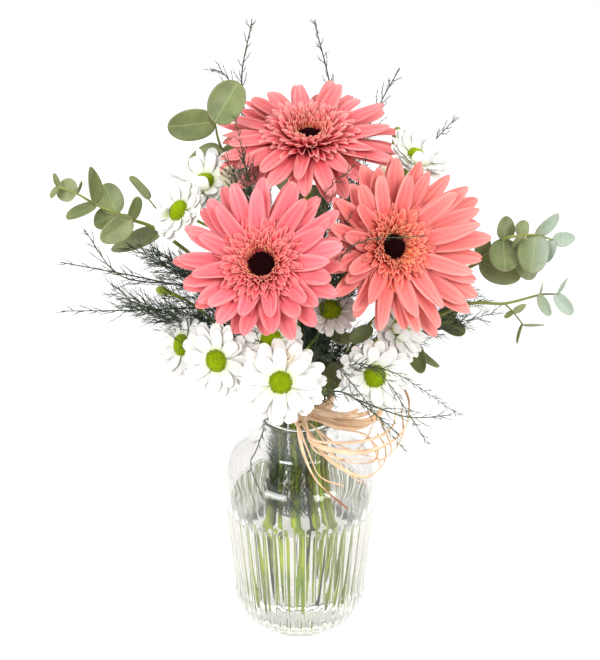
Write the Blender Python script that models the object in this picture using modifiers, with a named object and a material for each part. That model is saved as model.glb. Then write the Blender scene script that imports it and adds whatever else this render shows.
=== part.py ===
"""Three gerberas with daisies, eucalyptus and fern, tied with raffia and standing in a ribbed glass vase.

Metres, +Z up. The origin is the centre of the vase's foot, on the surface that it stands on, and the
bouquet's front faces -Y. Each stem passes the tie at its own slot, splays out below it in the vase and
bends out above it to its flower.
"""

import math

import bmesh
import bpy
from mathutils import Vector

# Fits
GAP = 0.0004  # between pieces that touch
WATER_GAP = 0.0005  # between the water and what stands in it

# Vase
VASE_HEIGHT = 0.1880
FOOT_RADIUS = 0.0291  # flat disc that the vase stands on
HEEL = 0.0225  # height of the round lower edge
WALL_FOOT_RADIUS = 0.0500  # at the top of the heel
SHOULDER_RADIUS = 0.0585  # the widest place
SHOULDER_Z = 0.1290  # where the wall starts to turn in
NECK_Z = 0.1640  # where the neck leaves the shoulder
NECK_RADIUS = 0.0285
RIM_RADIUS = 0.0302
GLASS = 0.0030  # wall
FLOOR = 0.0095  # thick glass bottom
RIB_COUNT = 44
RIB_DEPTH = 0.0009
RIB_TOP_Z = 0.1120
RIB_FADE = 0.0040

# Water
WATER_Z = 0.1100

# Stem bundle
TIE_ABOVE = 0.0100  # the tie over the vase's rim
TIE_Z = VASE_HEIGHT + TIE_ABOVE  # where the bundle is tied, and the narrowest
BUNDLE_RADIUS = 0.0175  # from the axis to the outer ring of stems, at the tie
SPLAY = 0.95  # how much wider the bundle is on the floor than at the tie
SPLAY_POWER = 1.7
TWIST = math.radians(24)  # turn of the spiral between the tie and the floor
GERBERA_STEM = 0.0031
DAISY_STEM = 0.0019
EUCALYPTUS_STEM = 0.0016
FERN_STEM = 0.0010
TWIG = 0.0007

# Gerbera heads
GERBERA_PETALS = 20
PETAL_SKIN = 0.0008
GERBERA_DISC = 0.0088
CROWN_OUTER = 0.0290
CROWN_HEIGHT = 0.0075

# Daisy heads
DAISY_PETALS = 12
DAISY_SKIN = 0.0006
DAISY_DISC = 0.0082

# Eucalyptus leaves
LEAF_SKIN = 0.0009
LEAF_CORNERS = 8

# Raffia
RAFFIA_SLACK = 0.0031  # from the thickest stem of the outer ring to the wrap
RAFFIA_RING = BUNDLE_RADIUS + DAISY_STEM + RAFFIA_SLACK  # inner radius of the wrap
RAFFIA_BAND = 0.0125  # height of the wrap
RAFFIA_THICK = 0.0026
RAFFIA_STRAND = 0.0024
KNOT_RADIUS = 0.0048
KNOT_TURN = math.radians(-92)  # where on the wrap the knot sits, from +X

# In the tables below, a point's height is measured up from the tie.

# Each gerbera: its slot in the tie (radius, degrees), foot height, middle of its head,
# facing (azimuth to the right of -Y, elevation) in degrees, radius, and how far its petals' tips rise.
GERBERAS = {
    "gerbera_left": ((0.0080, 232), 0.016, (-0.0246, -0.0880, 0.1557), (-8, 46), 0.0570, 0.010),
    "gerbera_right": ((0.0080, 322), 0.021, (0.0611, -0.0450, 0.1473), (27, 30), 0.0590, 0.015),
    "gerbera_top": ((0.0066, 92), 0.013, (0.0062, 0.0240, 0.1950), (0, 76), 0.0610, -0.003),
}

# Each daisy: middle of its head, facing in degrees, radius, rise of its petals' tips.
DAISIES = {
    "daisy_front": ((-0.0127, -0.0940, 0.0711), (-5, 24), 0.0300, -0.002),
    "daisy_under_left": ((-0.0190, -0.0680, 0.0884), (-12, 28), 0.0225, 0.004),
    "daisy_low_left": ((-0.0558, -0.0700, 0.0738), (-24, 18), 0.0270, 0.001),
    "daisy_far_left": ((-0.0808, -0.0400, 0.0680), (-50, 24), 0.0235, 0.002),
    "daisy_upper_left": ((-0.0656, 0.0060, 0.1699), (-25, 62), 0.0270, 0.009),
    "daisy_side_left": ((-0.0799, -0.0340, 0.1681), (-52, 40), 0.0220, 0.004),
    "daisy_front_right": ((0.0507, -0.0680, 0.0599), (14, 26), 0.0260, 0.000),
    "daisy_low_right": ((0.0680, -0.0360, 0.0780), (52, 34), 0.0240, 0.002),
    "daisy_middle": ((0.0206, -0.0460, 0.0986), (5, 52), 0.0185, 0.002),
    "daisy_upper_right": ((0.0795, 0.0110, 0.1865), (50, 58), 0.0225, 0.008),
    "daisy_back_left": ((-0.0480, 0.0720, 0.1320), (212, 34), 0.0260, 0.002),
    "daisy_back_right": ((0.0480, 0.0760, 0.1220), (150, 32), 0.0260, 0.002),
}

# Each daisy spray: its slot, foot height, then its branches. The first runs from the tie, and the others
# leave it after a share of its length. A branch ends under a daisy, or in a bud at a point with a facing.
SPRAYS = {
    "daisy_spray_front": ((BUNDLE_RADIUS, 255), 0.018, (
        (0.0, "daisy_front"), (0.42, "daisy_under_left"), (0.30, "daisy_middle"))),
    "daisy_spray_left": ((BUNDLE_RADIUS, 217), 0.022, (
        (0.0, "daisy_low_left"), (0.45, "daisy_far_left"), (0.55, ((-0.0991, -0.0340, 0.1092), (-70, 25))))),
    "daisy_spray_upper_left": ((BUNDLE_RADIUS, 172), 0.016, (
        (0.0, "daisy_upper_left"), (0.55, "daisy_side_left"))),
    "daisy_spray_right": ((BUNDLE_RADIUS, 308), 0.020, (
        (0.0, "daisy_front_right"), (0.45, "daisy_low_right"))),
    "daisy_spray_upper_right": ((BUNDLE_RADIUS, 12), 0.024, (
        (0.0, "daisy_upper_right"), (0.62, ((0.0914, 0.0220, 0.1890), (60, 40))),
        (0.58, ((0.0688, 0.0400, 0.1980), (100, 75))))),
    "daisy_spray_back": ((BUNDLE_RADIUS, 122), 0.020, (
        (0.0, "daisy_back_left"), (0.25, "daisy_back_right"))),
}

# Each eucalyptus sprig: its slot, foot height and its branches: the branch point of an earlier one that it
# leaves (the first leaves the tie), then its joints. A joint is a point and the leaves there, each with
# its direction seen from the front (degrees from +X towards up), lean to the front, turn about its own
# length, length and width.
EUCALYPTUS = {
    "eucalyptus_upper_left": ((BUNDLE_RADIUS, 156), 0.024, (
        (None, (
            ((-0.0330, 0.0440, 0.1220), ()),
            ((-0.0540, 0.0240, 0.1870), ((215, 0, 10, 0.026, 0.024), (-25, 0, 20, 0.022, 0.018))),
            ((-0.0583, 0.0160, 0.2120), ((188, 10, -25, 0.032, 0.024), (61, -10, 10, 0.032, 0.026))))),)),
    "eucalyptus_left": ((BUNDLE_RADIUS, 190), 0.019, (
        (None, (
            ((-0.0600, -0.0020, 0.0980), ()),
            ((-0.0952, -0.0080, 0.1390), ((205, 15, 45, 0.037, 0.020),)),
            ((-0.1148, -0.0220, 0.1566), ((72, 10, 50, 0.016, 0.012), (217, 20, -20, 0.026, 0.018))),
            ((-0.1237, -0.0260, 0.1633), ((116, -10, 0, 0.022, 0.019), (204, -15, 15, 0.018, 0.016))),
            ((-0.1372, -0.0290, 0.1711), ((96, 10, 62, 0.025, 0.016), (208, 15, 45, 0.022, 0.014))),
            ((-0.1497, -0.0300, 0.1799), ((160, -15, 0, 0.014, 0.017), (70, 0, 80, 0.009, 0.006))),
            ((-0.1616, -0.0300, 0.1850), ((108, 0, 40, 0.009, 0.005), (238, 0, 40, 0.009, 0.006))))),
        ((0, 1), (
            ((-0.0990, 0.0080, 0.1470), ()),
            ((-0.1054, 0.0100, 0.1566), ((131, 0, 60, 0.020, 0.013),)))))),
    "eucalyptus_right": ((BUNDLE_RADIUS, 353), 0.020, (
        (None, (
            ((0.0640, 0.0260, 0.0620), ()),
            ((0.1281, 0.0120, 0.1060), ((80, 0, 20, 0.020, 0.014), (-24, 5, -15, 0.030, 0.024))),
            ((0.1424, 0.0040, 0.1276), ((-88, 22, 0, 0.024, 0.023), (76, -10, 15, 0.017, 0.014))),
            ((0.1529, 0.0000, 0.1328), ((66, -15, 10, 0.012, 0.011), (-72, -25, 10, 0.034, 0.018))),
            ((0.1647, 0.0000, 0.1336), ((-100, 15, 5, 0.028, 0.023), (42, 0, 40, 0.021, 0.012))),
            ((0.1769, 0.0000, 0.1297), ((5, 0, 10, 0.015, 0.011), (-106, 0, 20, 0.016, 0.009))))),)),
    "eucalyptus_low_right": ((BUNDLE_RADIUS, 337), 0.026, (
        (None, (
            ((0.0760, -0.0080, 0.0580), ()),
            ((0.1152, -0.0240, 0.0910), ()),
            ((0.1421, -0.0290, 0.0950), ()),
            ((0.1654, -0.0300, 0.1023), ((-62, 0, 20, 0.016, 0.008), (75, 0, 75, 0.009, 0.006))),
            ((0.1768, -0.0300, 0.1031), ((58, 0, 70, 0.014, 0.008), (-50, 0, 15, 0.018, 0.010))))),
        ((0, 2), (
            ((0.1482, -0.0300, 0.0888), ((30, 0, 30, 0.010, 0.006), (215, 0, 40, 0.007, 0.005))),
            ((0.1554, -0.0300, 0.0792), ((0, 0, 75, 0.015, 0.006), (-105, 0, 75, 0.014, 0.006))))))),
    "eucalyptus_under_right": ((BUNDLE_RADIUS, 322), 0.022, (
        (None, (
            ((0.0420, -0.0240, 0.0340), ()),
            ((0.0800, -0.0060, 0.0500), ((-68, 10, 25, 0.023, 0.015), (-40, 0, 60, 0.026, 0.012))),
            ((0.0990, -0.0100, 0.0720), ((35, 0, 10, 0.015, 0.013), (-28, 10, 15, 0.021, 0.013))))),)),
    "eucalyptus_front": ((BUNDLE_RADIUS, 293), 0.025, (
        (None, (
            ((0.0150, -0.0360, 0.0260), ()),
            ((0.0290, -0.0380, 0.0520), ((-118, 20, 10, 0.022, 0.016),)),
            ((0.0351, -0.0300, 0.0662), ((30, 0, 20, 0.018, 0.013), (165, 0, 30, 0.015, 0.012))))),)),
    "eucalyptus_back": ((BUNDLE_RADIUS, 139), 0.026, (
        (None, (
            ((-0.0080, 0.0480, 0.0720), ((20, -25, 0, 0.030, 0.025), (200, -25, 0, 0.030, 0.025))),
            ((0.0000, 0.0760, 0.1320), ((-40, -30, 0, 0.028, 0.024), (130, -30, 0, 0.028, 0.024))),
            ((0.0040, 0.0860, 0.1720), ((30, -30, 0, 0.022, 0.018), (170, -30, 0, 0.022, 0.018))))),)),
}

# Each fern: its slot, foot height, then its wiry branches: share of the first branch's length at which
# it leaves, and the points that it passes.
FERNS = {
    "fern_left": ((BUNDLE_RADIUS, 203), 0.032, (
        (0.0, ((-0.0560, -0.0120, 0.0880), (-0.0980, -0.0190, 0.1070), (-0.1640, -0.0320, 0.1291))),
        (0.40, ((-0.1100, -0.0400, 0.0960), (-0.1637, -0.0420, 0.0963))),
        (0.60, ((-0.1241, -0.0300, 0.1180), (-0.1469, -0.0260, 0.1513))))),
    "fern_top_left": ((BUNDLE_RADIUS, 50), 0.030, (
        (0.0, ((-0.0200, 0.0480, 0.1220), (-0.0420, 0.0980, 0.1970), (-0.0341, 0.0950, 0.2571))),
        (0.60, ((-0.0504, 0.0920, 0.2100), (-0.0643, 0.0850, 0.2240))))),
    "fern_top_right": ((BUNDLE_RADIUS, 32), 0.034, (
        (0.0, ((0.0330, 0.0520, 0.1120), (0.0240, 0.1000, 0.1920), (0.0099, 0.0950, 0.2563))),
        (0.55, ((0.0592, 0.0900, 0.1970), (0.0714, 0.0850, 0.2240))),
        (0.42, ((0.0849, 0.0600, 0.1660), (0.1104, 0.0500, 0.2012))))),
    "fern_low_right": ((BUNDLE_RADIUS, 278), 0.032, (
        (0.0, ((0.0140, -0.0560, 0.0370), (0.0320, -0.0900, 0.0590), (0.0673, -0.0980, 0.0320))),
        (0.72, ((0.0720, -0.0980, 0.0460), (0.1038, -0.0850, 0.0391))))),
}

# Raffia strands, with the points that each passes, from the knot.
STRANDS = {
    "raffia_band_loop": ((0.0060, -0.0290, 0.0050), (0.0330, -0.0330, -0.0010), (0.0520, -0.0260, -0.0020),
                         (0.0600, -0.0130, 0.0040), (0.0520, -0.0010, 0.0100), (0.0330, 0.0060, 0.0100)),
    "raffia_wide_loop": ((0.0040, -0.0350, 0.0010), (0.0100, -0.0500, -0.0080), (0.0370, -0.0580, -0.0100),
                         (0.0580, -0.0540, -0.0080), (0.0740, -0.0420, -0.0020), (0.0790, -0.0260, 0.0100),
                         (0.0750, -0.0140, 0.0180)),
    "raffia_low_loop": ((0.0020, -0.0340, -0.0020), (0.0180, -0.0500, -0.0180), (0.0340, -0.0560, -0.0280),
                        (0.0480, -0.0540, -0.0340), (0.0600, -0.0450, -0.0290), (0.0620, -0.0370, -0.0200),
                        (0.0560, -0.0330, -0.0100)),
    "raffia_tail": ((-0.0020, -0.0350, -0.0010), (0.0020, -0.0480, -0.0160), (0.0100, -0.0540, -0.0340),
                    (0.0220, -0.0560, -0.0480), (0.0350, -0.0500, -0.0650)),
}


# ---------------------------------------------------------------- scene, materials and small helpers


def start_scene():
    for old in list(bpy.data.objects):
        bpy.data.objects.remove(old, do_unlink=True)
    made = bpy.data.collections.new("gerberas_in_a_vase")
    helpers = bpy.data.collections.new("helpers")
    helpers.hide_render = True
    for collection in (made, helpers):
        bpy.context.scene.collection.children.link(collection)
    return made, helpers


PARTS, HELPERS = start_scene()


def make_material(name, colour, roughness, alpha=1.0):
    material = bpy.data.materials.new(name)
    material.use_nodes = True
    shader = material.node_tree.nodes["Principled BSDF"]
    shader.inputs["Base Color"].default_value = (*colour, 1.0)
    shader.inputs["Roughness"].default_value = roughness
    shader.inputs["Metallic"].default_value = 0.0
    shader.inputs["Alpha"].default_value = alpha
    return material


MATERIALS = {
    "glass": make_material("glass", (0.92, 0.95, 0.95), 0.04, 0.35),
    "water": make_material("water", (0.88, 0.94, 0.94), 0.02, 0.35),
    "coral_petal": make_material("coral_petal", (0.90, 0.27, 0.27), 0.55),
    "crown": make_material("crown", (0.93, 0.36, 0.30), 0.60),
    "dark_disc": make_material("dark_disc", (0.06, 0.015, 0.02), 0.80),
    "white_petal": make_material("white_petal", (0.90, 0.89, 0.86), 0.60),
    "green_disc": make_material("green_disc", (0.40, 0.55, 0.03), 0.75),
    "flower_stem": make_material("flower_stem", (0.24, 0.38, 0.06), 0.55),
    "spray_stem": make_material("spray_stem", (0.13, 0.24, 0.06), 0.60),
    "eucalyptus": make_material("eucalyptus", (0.30, 0.42, 0.30), 0.65),
    "fern": make_material("fern", (0.05, 0.08, 0.04), 0.70),
    "raffia": make_material("raffia", (0.78, 0.52, 0.30), 0.75),
}


def add_part(name, mesh, material):
    part = bpy.data.objects.new(name, mesh)
    mesh.materials.clear()
    mesh.materials.append(MATERIALS[material])
    PARTS.objects.link(part)
    return part


def facing(azimuth, elevation):
    """The unit vector of a flower's face: azimuth to the right of -Y, elevation above the horizon."""
    azimuth, elevation = math.radians(azimuth), math.radians(elevation)
    flat = math.cos(elevation)
    return Vector((math.sin(azimuth) * flat, -math.cos(azimuth) * flat, math.sin(elevation)))


FRONT = facing(0, 30)  # the side that the bouquet is arranged for, seen from a little above
UPWARD = Vector((0, -FRONT.z, -FRONT.y))


def from_tie(point):
    """A point whose height is measured up from the tie, in the object's own frame."""
    return Vector((point[0], point[1], TIE_Z + point[2]))


def place_facing(part, centre, normal):
    part.location = centre
    part.rotation_mode = "QUATERNION"
    part.rotation_quaternion = normal.to_track_quat("Z", "Y")


def between(low, high, share):
    return low + (high - low) * share


def arc(centre, radii, start, end, steps):
    """Points (r, z) on an elliptical arc, angles in degrees from +r."""
    points = []
    for step in range(steps + 1):
        angle = math.radians(between(start, end, step / steps))
        points.append((centre[0] + radii[0] * math.cos(angle), centre[1] + radii[1] * math.sin(angle)))
    return points


def smooth_path(points, steps):
    """A Catmull-Rom curve through the points, with equal steps between each two."""
    knots = [Vector(point) for point in points]
    ends = [2 * knots[0] - knots[1], *knots, 2 * knots[-1] - knots[-2]]
    path = []
    for index in range(len(knots) - 1):
        a, b, c, d = ends[index : index + 4]
        for step in range(steps):
            t = step / steps
            path.append(
                0.5 * (2 * b + (c - a) * t + (2 * a - 5 * b + 4 * c - d) * t**2 + (3 * b - a - 3 * c + d) * t**3)
            )
    return [*path, knots[-1]]


def bend(start, start_way, end, end_way, steps):
    """A curve that leaves start along start_way and reaches end along end_way."""
    pull = (end - start).length * 0.42
    a, b, c, d = start, start + start_way * pull, end - end_way * pull, end
    path = []
    for step in range(1, steps + 1):
        t = step / steps
        s = 1 - t
        path.append(a * s**3 + b * (3 * s * s * t) + c * (3 * s * t * t) + d * t**3)
    return path


# ---------------------------------------------------------------- tubes and joins


def tube_curve(name, points, radii, sides=2):
    """A round tube with filled caps along the points, with one radius for each point."""
    curve = bpy.data.curves.new(name, "CURVE")
    curve.dimensions = "3D"
    curve.bevel_depth = 1.0
    curve.bevel_resolution = sides
    curve.use_fill_caps = True
    spline = curve.splines.new("POLY")
    spline.points.add(len(points) - 1)
    for knot, point, radius in zip(spline.points, points, radii):
        knot.co = (*point, 1.0)
        knot.radius = radius
    return curve


def mesh_of(obj):
    """The object's evaluated mesh in world space, with a curve's loose caps welded."""
    bpy.context.view_layer.update()
    graph = bpy.context.evaluated_depsgraph_get()
    mesh = bpy.data.meshes.new_from_object(obj.evaluated_get(graph))
    mesh.transform(obj.matrix_world)
    work = bmesh.new()
    work.from_mesh(mesh)
    bmesh.ops.remove_doubles(work, verts=work.verts, dist=0.000002)
    bmesh.ops.recalc_face_normals(work, faces=work.faces)
    work.to_mesh(mesh)
    work.free()
    return mesh


def helper(name, data):
    made = bpy.data.objects.new(name, data)
    made.hide_render = True
    made.display_type = "WIRE"
    HELPERS.objects.link(made)
    return made


def helper_tube(name, points, radii, sides=2):
    """The same tube as a mesh that a Boolean can use."""
    as_curve = helper(name, tube_curve(name, points, radii, sides))
    solid = helper(name + "_solid", mesh_of(as_curve))
    bpy.data.objects.remove(as_curve)
    return solid


def joined(name, pieces, material, operation="UNION"):
    """One solid from the first piece and each of the others."""
    base, *others = pieces
    for other in others:
        boolean = base.modifiers.new(other.name, "BOOLEAN")
        boolean.operation = operation
        boolean.solver = "EXACT"
        boolean.object = other
    mesh = mesh_of(base)
    for piece in pieces:
        bpy.data.objects.remove(piece)
    return add_part(name, mesh, material)


# ---------------------------------------------------------------- vase and water


def shoulder(inset, steps):
    """(r, z) up the shoulder, from the widest place to the start of the neck, moved in by inset."""
    turn = 0.62  # share of the way in where the curve turns from round to hollow
    reach, rise = SHOULDER_RADIUS - NECK_RADIUS, NECK_Z - SHOULDER_Z
    low = arc((NECK_RADIUS, SHOULDER_Z), (reach, rise * 0.78), 0, 90 * turn, steps)
    (r, z), last = low[-1], (NECK_RADIUS, NECK_Z)
    hollow = [(between(r, last[0], 0.62), between(z, last[1], 0.30)), last]
    return [(radius - inset, height - inset * 0.5) for radius, height in [*low, *hollow]]


def inner_profile(inset):
    """(r, z) up the vase's inside, from the floor's centre to the start of the neck, moved in by inset."""
    wall = GLASS + inset
    heel = HEEL - GLASS
    centre = (WALL_FOOT_RADIUS - GLASS - heel, FLOOR + heel)
    return [
        (0.0, FLOOR + inset),
        *arc(centre, (heel - inset, heel - inset), -90, 0, 3),
        *shoulder(wall, 2),
    ]


def outer_profile():
    """(r, z) down the vase's outside, from the rim to the centre of the foot."""
    lip = GLASS / 2
    ribbed = [RIB_TOP_Z, RIB_TOP_Z - RIB_FADE, HEEL + RIB_FADE]
    return [
        (RIM_RADIUS - lip, VASE_HEIGHT),
        (RIM_RADIUS, VASE_HEIGHT - lip),
        (NECK_RADIUS, VASE_HEIGHT - 3 * lip),
        *reversed(shoulder(0.0, 2)),
        *[(wall_radius(z), z) for z in ribbed],
        *arc((FOOT_RADIUS, HEEL), (WALL_FOOT_RADIUS - FOOT_RADIUS, HEEL), 0, -90, 3),
        (0.0, 0.0),
    ]


def wall_radius(z):
    """Outer radius of the tapering wall at a height."""
    share = (z - HEEL) / (SHOULDER_Z - HEEL)
    return between(WALL_FOOT_RADIUS, SHOULDER_RADIUS, share)


def turned_mesh(name, profile, steps):
    """The profile turned round Z by a Screw modifier, as a mesh."""
    mesh = bpy.data.meshes.new(name)
    edges = [(index, index + 1) for index in range(len(profile) - 1)]
    mesh.from_pydata([(r, 0.0, z) for r, z in profile], edges, [])
    turned = helper(name + "_profile", mesh)
    screw = turned.modifiers.new("turn", "SCREW")
    screw.steps = screw.render_steps = steps
    screw.use_merge_vertices = True
    screw.merge_threshold = 0.00001
    made = mesh_of(turned)
    bpy.data.objects.remove(turned)
    return made


def build_vase():
    lip = GLASS / 2
    inside = inner_profile(0.0)
    rim_inner = [(NECK_RADIUS - GLASS, VASE_HEIGHT - 3 * lip), (RIM_RADIUS - GLASS, VASE_HEIGHT - lip / 2)]
    mesh = turned_mesh("vase", inside + rim_inner + outer_profile(), 2 * RIB_COUNT)
    low, high = HEEL + RIB_FADE / 2, RIB_TOP_Z - RIB_FADE / 2
    for vertex in mesh.vertices:
        radius = math.hypot(vertex.co.x, vertex.co.y)
        outside = radius > wall_radius(vertex.co.z) - GLASS / 2
        if low < vertex.co.z < high and outside:
            around = round(math.atan2(vertex.co.y, vertex.co.x) / math.pi * RIB_COUNT)
            if around % 2:
                vertex.co.x *= 1 - RIB_DEPTH / radius
                vertex.co.y *= 1 - RIB_DEPTH / radius
    vase = add_part("vase", mesh, "glass")
    vase.data.shade_smooth()
    return vase


def build_water(stems):
    """The water up to its level, with a socket for each stem that stands in it."""
    inside = inner_profile(GAP)
    top = next(index for index, (_, z) in enumerate(inside) if z > WATER_Z)
    (low_r, low_z), (high_r, high_z) = inside[top - 1], inside[top]
    edge = between(low_r, high_r, (WATER_Z - low_z) / (high_z - low_z))
    profile = [(0.0, WATER_Z), (edge, WATER_Z), *reversed(inside[:top])]
    body = helper("water_body", turned_mesh("water", profile, RIB_COUNT))
    sockets = []
    for name, points, radius in stems:
        wet = [point for point in points if point.z < WATER_Z]
        way = (points[len(wet)] - wet[-1]).normalized()
        foot = wet[0] - (wet[1] - wet[0]).normalized() * WATER_GAP
        line = [foot, *wet[1:], wet[-1] + way * (2 * (WATER_Z - wet[-1].z) + 0.01)]
        sockets.append(helper_tube(name + "_socket", line, [radius + WATER_GAP] * len(line), 2))
    return joined("water", [body, *sockets], "water", "DIFFERENCE")


# ---------------------------------------------------------------- stems


def bundle_point(slot, z):
    """Where the stem that passes the tie at slot (radius, degrees) is at height z. The tie holds the stems straight."""
    down = max(TIE_Z - z, 0) / TIE_Z
    radius = slot[0] * (1 + SPLAY * down**SPLAY_POWER)
    angle = math.radians(slot[1]) + TWIST * down
    return Vector((radius * math.cos(angle), radius * math.sin(angle), z))


def stem_below(slot, foot, steps=6):
    """The stem's points from its foot to just above the tie."""
    heights = [between(foot, TIE_Z, step / steps) for step in range(steps + 1)]
    return [bundle_point(slot, z) for z in [*heights, TIE_Z + RAFFIA_BAND * 0.7]]


def way_at_end(points):
    return (points[-1] - points[-2]).normalized()


def calyx(centre, normal, radius, length, stem):
    """Points and radii of the green cup under a flower, which ends just below its petals."""
    shares = ((1.0, stem), (0.55, between(stem, radius, 0.45)), (0.25, between(stem, radius, 0.9)), (0.0, radius))
    top = centre - normal * GAP
    return [top - normal * (length * share) for share, _ in shares], [size for _, size in shares]


def bud(tip, normal, stem):
    """Points and radii of a closed bud at the end of a branch."""
    length = 0.0095
    shares = ((1.0, stem), (0.78, 0.0033), (0.45, 0.0041), (0.15, 0.0030), (0.0, 0.0012))
    return [tip - normal * (length * share) for share, _ in shares], [size for _, size in shares]


WET_STEMS = []


def note_wet(name, points, radius):
    WET_STEMS.append((name, points, radius))


def build_gerbera_stem(name, slot, foot, centre, normal):
    cup, cup_radii = calyx(centre, normal, 0.0115, 0.0150, GERBERA_STEM)
    below = stem_below(slot, foot)
    rise = bend(below[-1], way_at_end(below), cup[0], normal, 8)
    points = below + rise + cup[1:]
    radii = [GERBERA_STEM] * (len(below) + len(rise)) + cup_radii[1:]
    stem = bpy.data.objects.new(name + "_stem", tube_curve(name, points, radii, 2))
    stem.data.materials.append(MATERIALS["flower_stem"])
    PARTS.objects.link(stem)
    note_wet(name, points, GERBERA_STEM)


def branch_end(target):
    """Points and radii of the cup or the bud that a branch ends in, and the way that it points."""
    if isinstance(target, str):
        centre, face, _, _ = DAISIES[target]
        normal = facing(*face)
        points, radii = calyx(from_tie(centre), normal, 0.0062, 0.0085, TWIG * 1.8)
        return points, radii, normal
    centre, face = target
    normal = facing(*face)
    points, radii = bud(from_tie(centre), normal, TWIG * 1.6)
    return points, radii, normal


def point_along(points, share):
    """The point, and the way of the path, at a share of the path's length."""
    lengths = [(b - a).length for a, b in zip(points, points[1:])]
    left = share * sum(lengths)
    for start, end, length in zip(points, points[1:], lengths):
        if left <= length:
            return start.lerp(end, left / length), (end - start).normalized()
        left -= length
    return points[-1], way_at_end(points)


def build_spray(name, slot, foot, branches):
    below = stem_below(slot, foot)
    pieces = []
    for share, target in branches:
        cup, cup_radii, normal = branch_end(target)
        if not pieces:
            rise = bend(below[-1], way_at_end(below), cup[0], normal, 7)
            thin = [between(DAISY_STEM, TWIG * 1.8, (step + 1) / len(rise)) for step in range(len(rise))]
            points = below + rise + cup[1:]
            radii = [DAISY_STEM] * len(below) + thin + cup_radii[1:]
            main = [below[-1], *rise]
        else:
            start, way = point_along(main, share)
            rise = bend(start, way, cup[0], normal, 6)
            points = [start, *rise, *cup[1:]]
            radii = [TWIG * 1.7] * (1 + len(rise)) + cup_radii[1:]
        pieces.append(helper_tube(f"{name}_branch", points, radii, 1))
        if len(pieces) == 1:
            note_wet(name, points, DAISY_STEM)
    joined(name, pieces, "spray_stem")


def leaf_frame(turn, lean, roll):
    """The directions out along a leaf and off its upper face."""
    turn, lean, roll = (math.radians(angle) for angle in (turn, lean, roll))
    flat = Vector((math.cos(turn), 0, 0)) + UPWARD * math.sin(turn)
    along = flat * math.cos(lean) + FRONT * math.sin(lean)
    face = (FRONT - along * FRONT.dot(along)).normalized()
    return along, face * math.cos(roll) + along.cross(face) * math.sin(roll)


def leaf_solid(name, base, along, face, length, width):
    """A thin oval leaf that starts at base and runs out along along."""
    side = along.cross(face)
    middle, up = base + along * (length / 2), face * (LEAF_SKIN / 2)
    ring = []
    for corner in range(LEAF_CORNERS):
        angle = 2 * math.pi * corner / LEAF_CORNERS
        outwards = along * (-math.cos(angle) * length / 2) + side * (math.sin(angle) * width / 2)
        ring.append(middle + outwards)
    points = [point + up for point in ring] + [point - up for point in ring] + [middle + up, middle - up]
    faces = []
    for corner in range(LEAF_CORNERS):
        after = (corner + 1) % LEAF_CORNERS
        below, below_after = corner + LEAF_CORNERS, after + LEAF_CORNERS
        faces += [(2 * LEAF_CORNERS, corner, after), (2 * LEAF_CORNERS + 1, below_after, below)]
        faces.append((corner, below, below_after, after))
    mesh = bpy.data.meshes.new(name)
    mesh.from_pydata(points, [], faces)
    drawn = helper(name, mesh)
    solid = helper(name + "_solid", mesh_of(drawn))
    bpy.data.objects.remove(drawn)
    return solid


def build_eucalyptus(name, slot, foot, branches):
    below = stem_below(slot, foot)
    pieces = []
    for origin, joints in branches:
        route = [from_tie(point) for point, _ in joints]
        if origin is None:
            rise = smooth_path([below[-1], *route], 2)
            points = below + rise[1:]
            thin = [between(EUCALYPTUS_STEM, TWIG, step / (len(rise) - 1)) for step in range(1, len(rise))]
            radii = [EUCALYPTUS_STEM] * len(below) + thin
            note_wet(name, points, EUCALYPTUS_STEM)
        else:
            branch, joint = origin
            points = smooth_path([from_tie(branches[branch][1][joint][0]), *route], 2)
            radii = [TWIG] * len(points)
        pieces.append(helper_tube(name + "_branch", points, radii, 1))
        for point, leaves in joints:
            for turn, lean, roll, length, width in leaves:
                along, face = leaf_frame(turn, lean, roll)
                pieces.append(leaf_solid(name + "_leaf", from_tie(point), along, face, length, width))
    joined(name, pieces, "eucalyptus")


def build_fern(name, slot, foot, branches):
    below = stem_below(slot, foot)
    pieces = []
    for share, points in branches:
        route = [from_tie(point) for point in points]
        if not pieces:
            main = smooth_path([below[-1], *route], 3)
            points = below + main[1:]
            thin = [between(FERN_STEM, TWIG, step / (len(main) - 1)) for step in range(1, len(main))]
            radii = [FERN_STEM] * len(below) + thin
            note_wet(name, points, FERN_STEM)
        else:
            start, _ = point_along(main, share)
            points = smooth_path([start, *route], 3)
            radii = [TWIG] * len(points)
        pieces.append(helper_tube(name + "_branch", points, radii, 1))
    joined(name, pieces, "fern")


# ---------------------------------------------------------------- flower heads


def petal_height(radius, outer, rise):
    """How far a petal stands above the flower's base plane at a radius."""
    return rise * (radius / outer) ** 2


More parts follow.
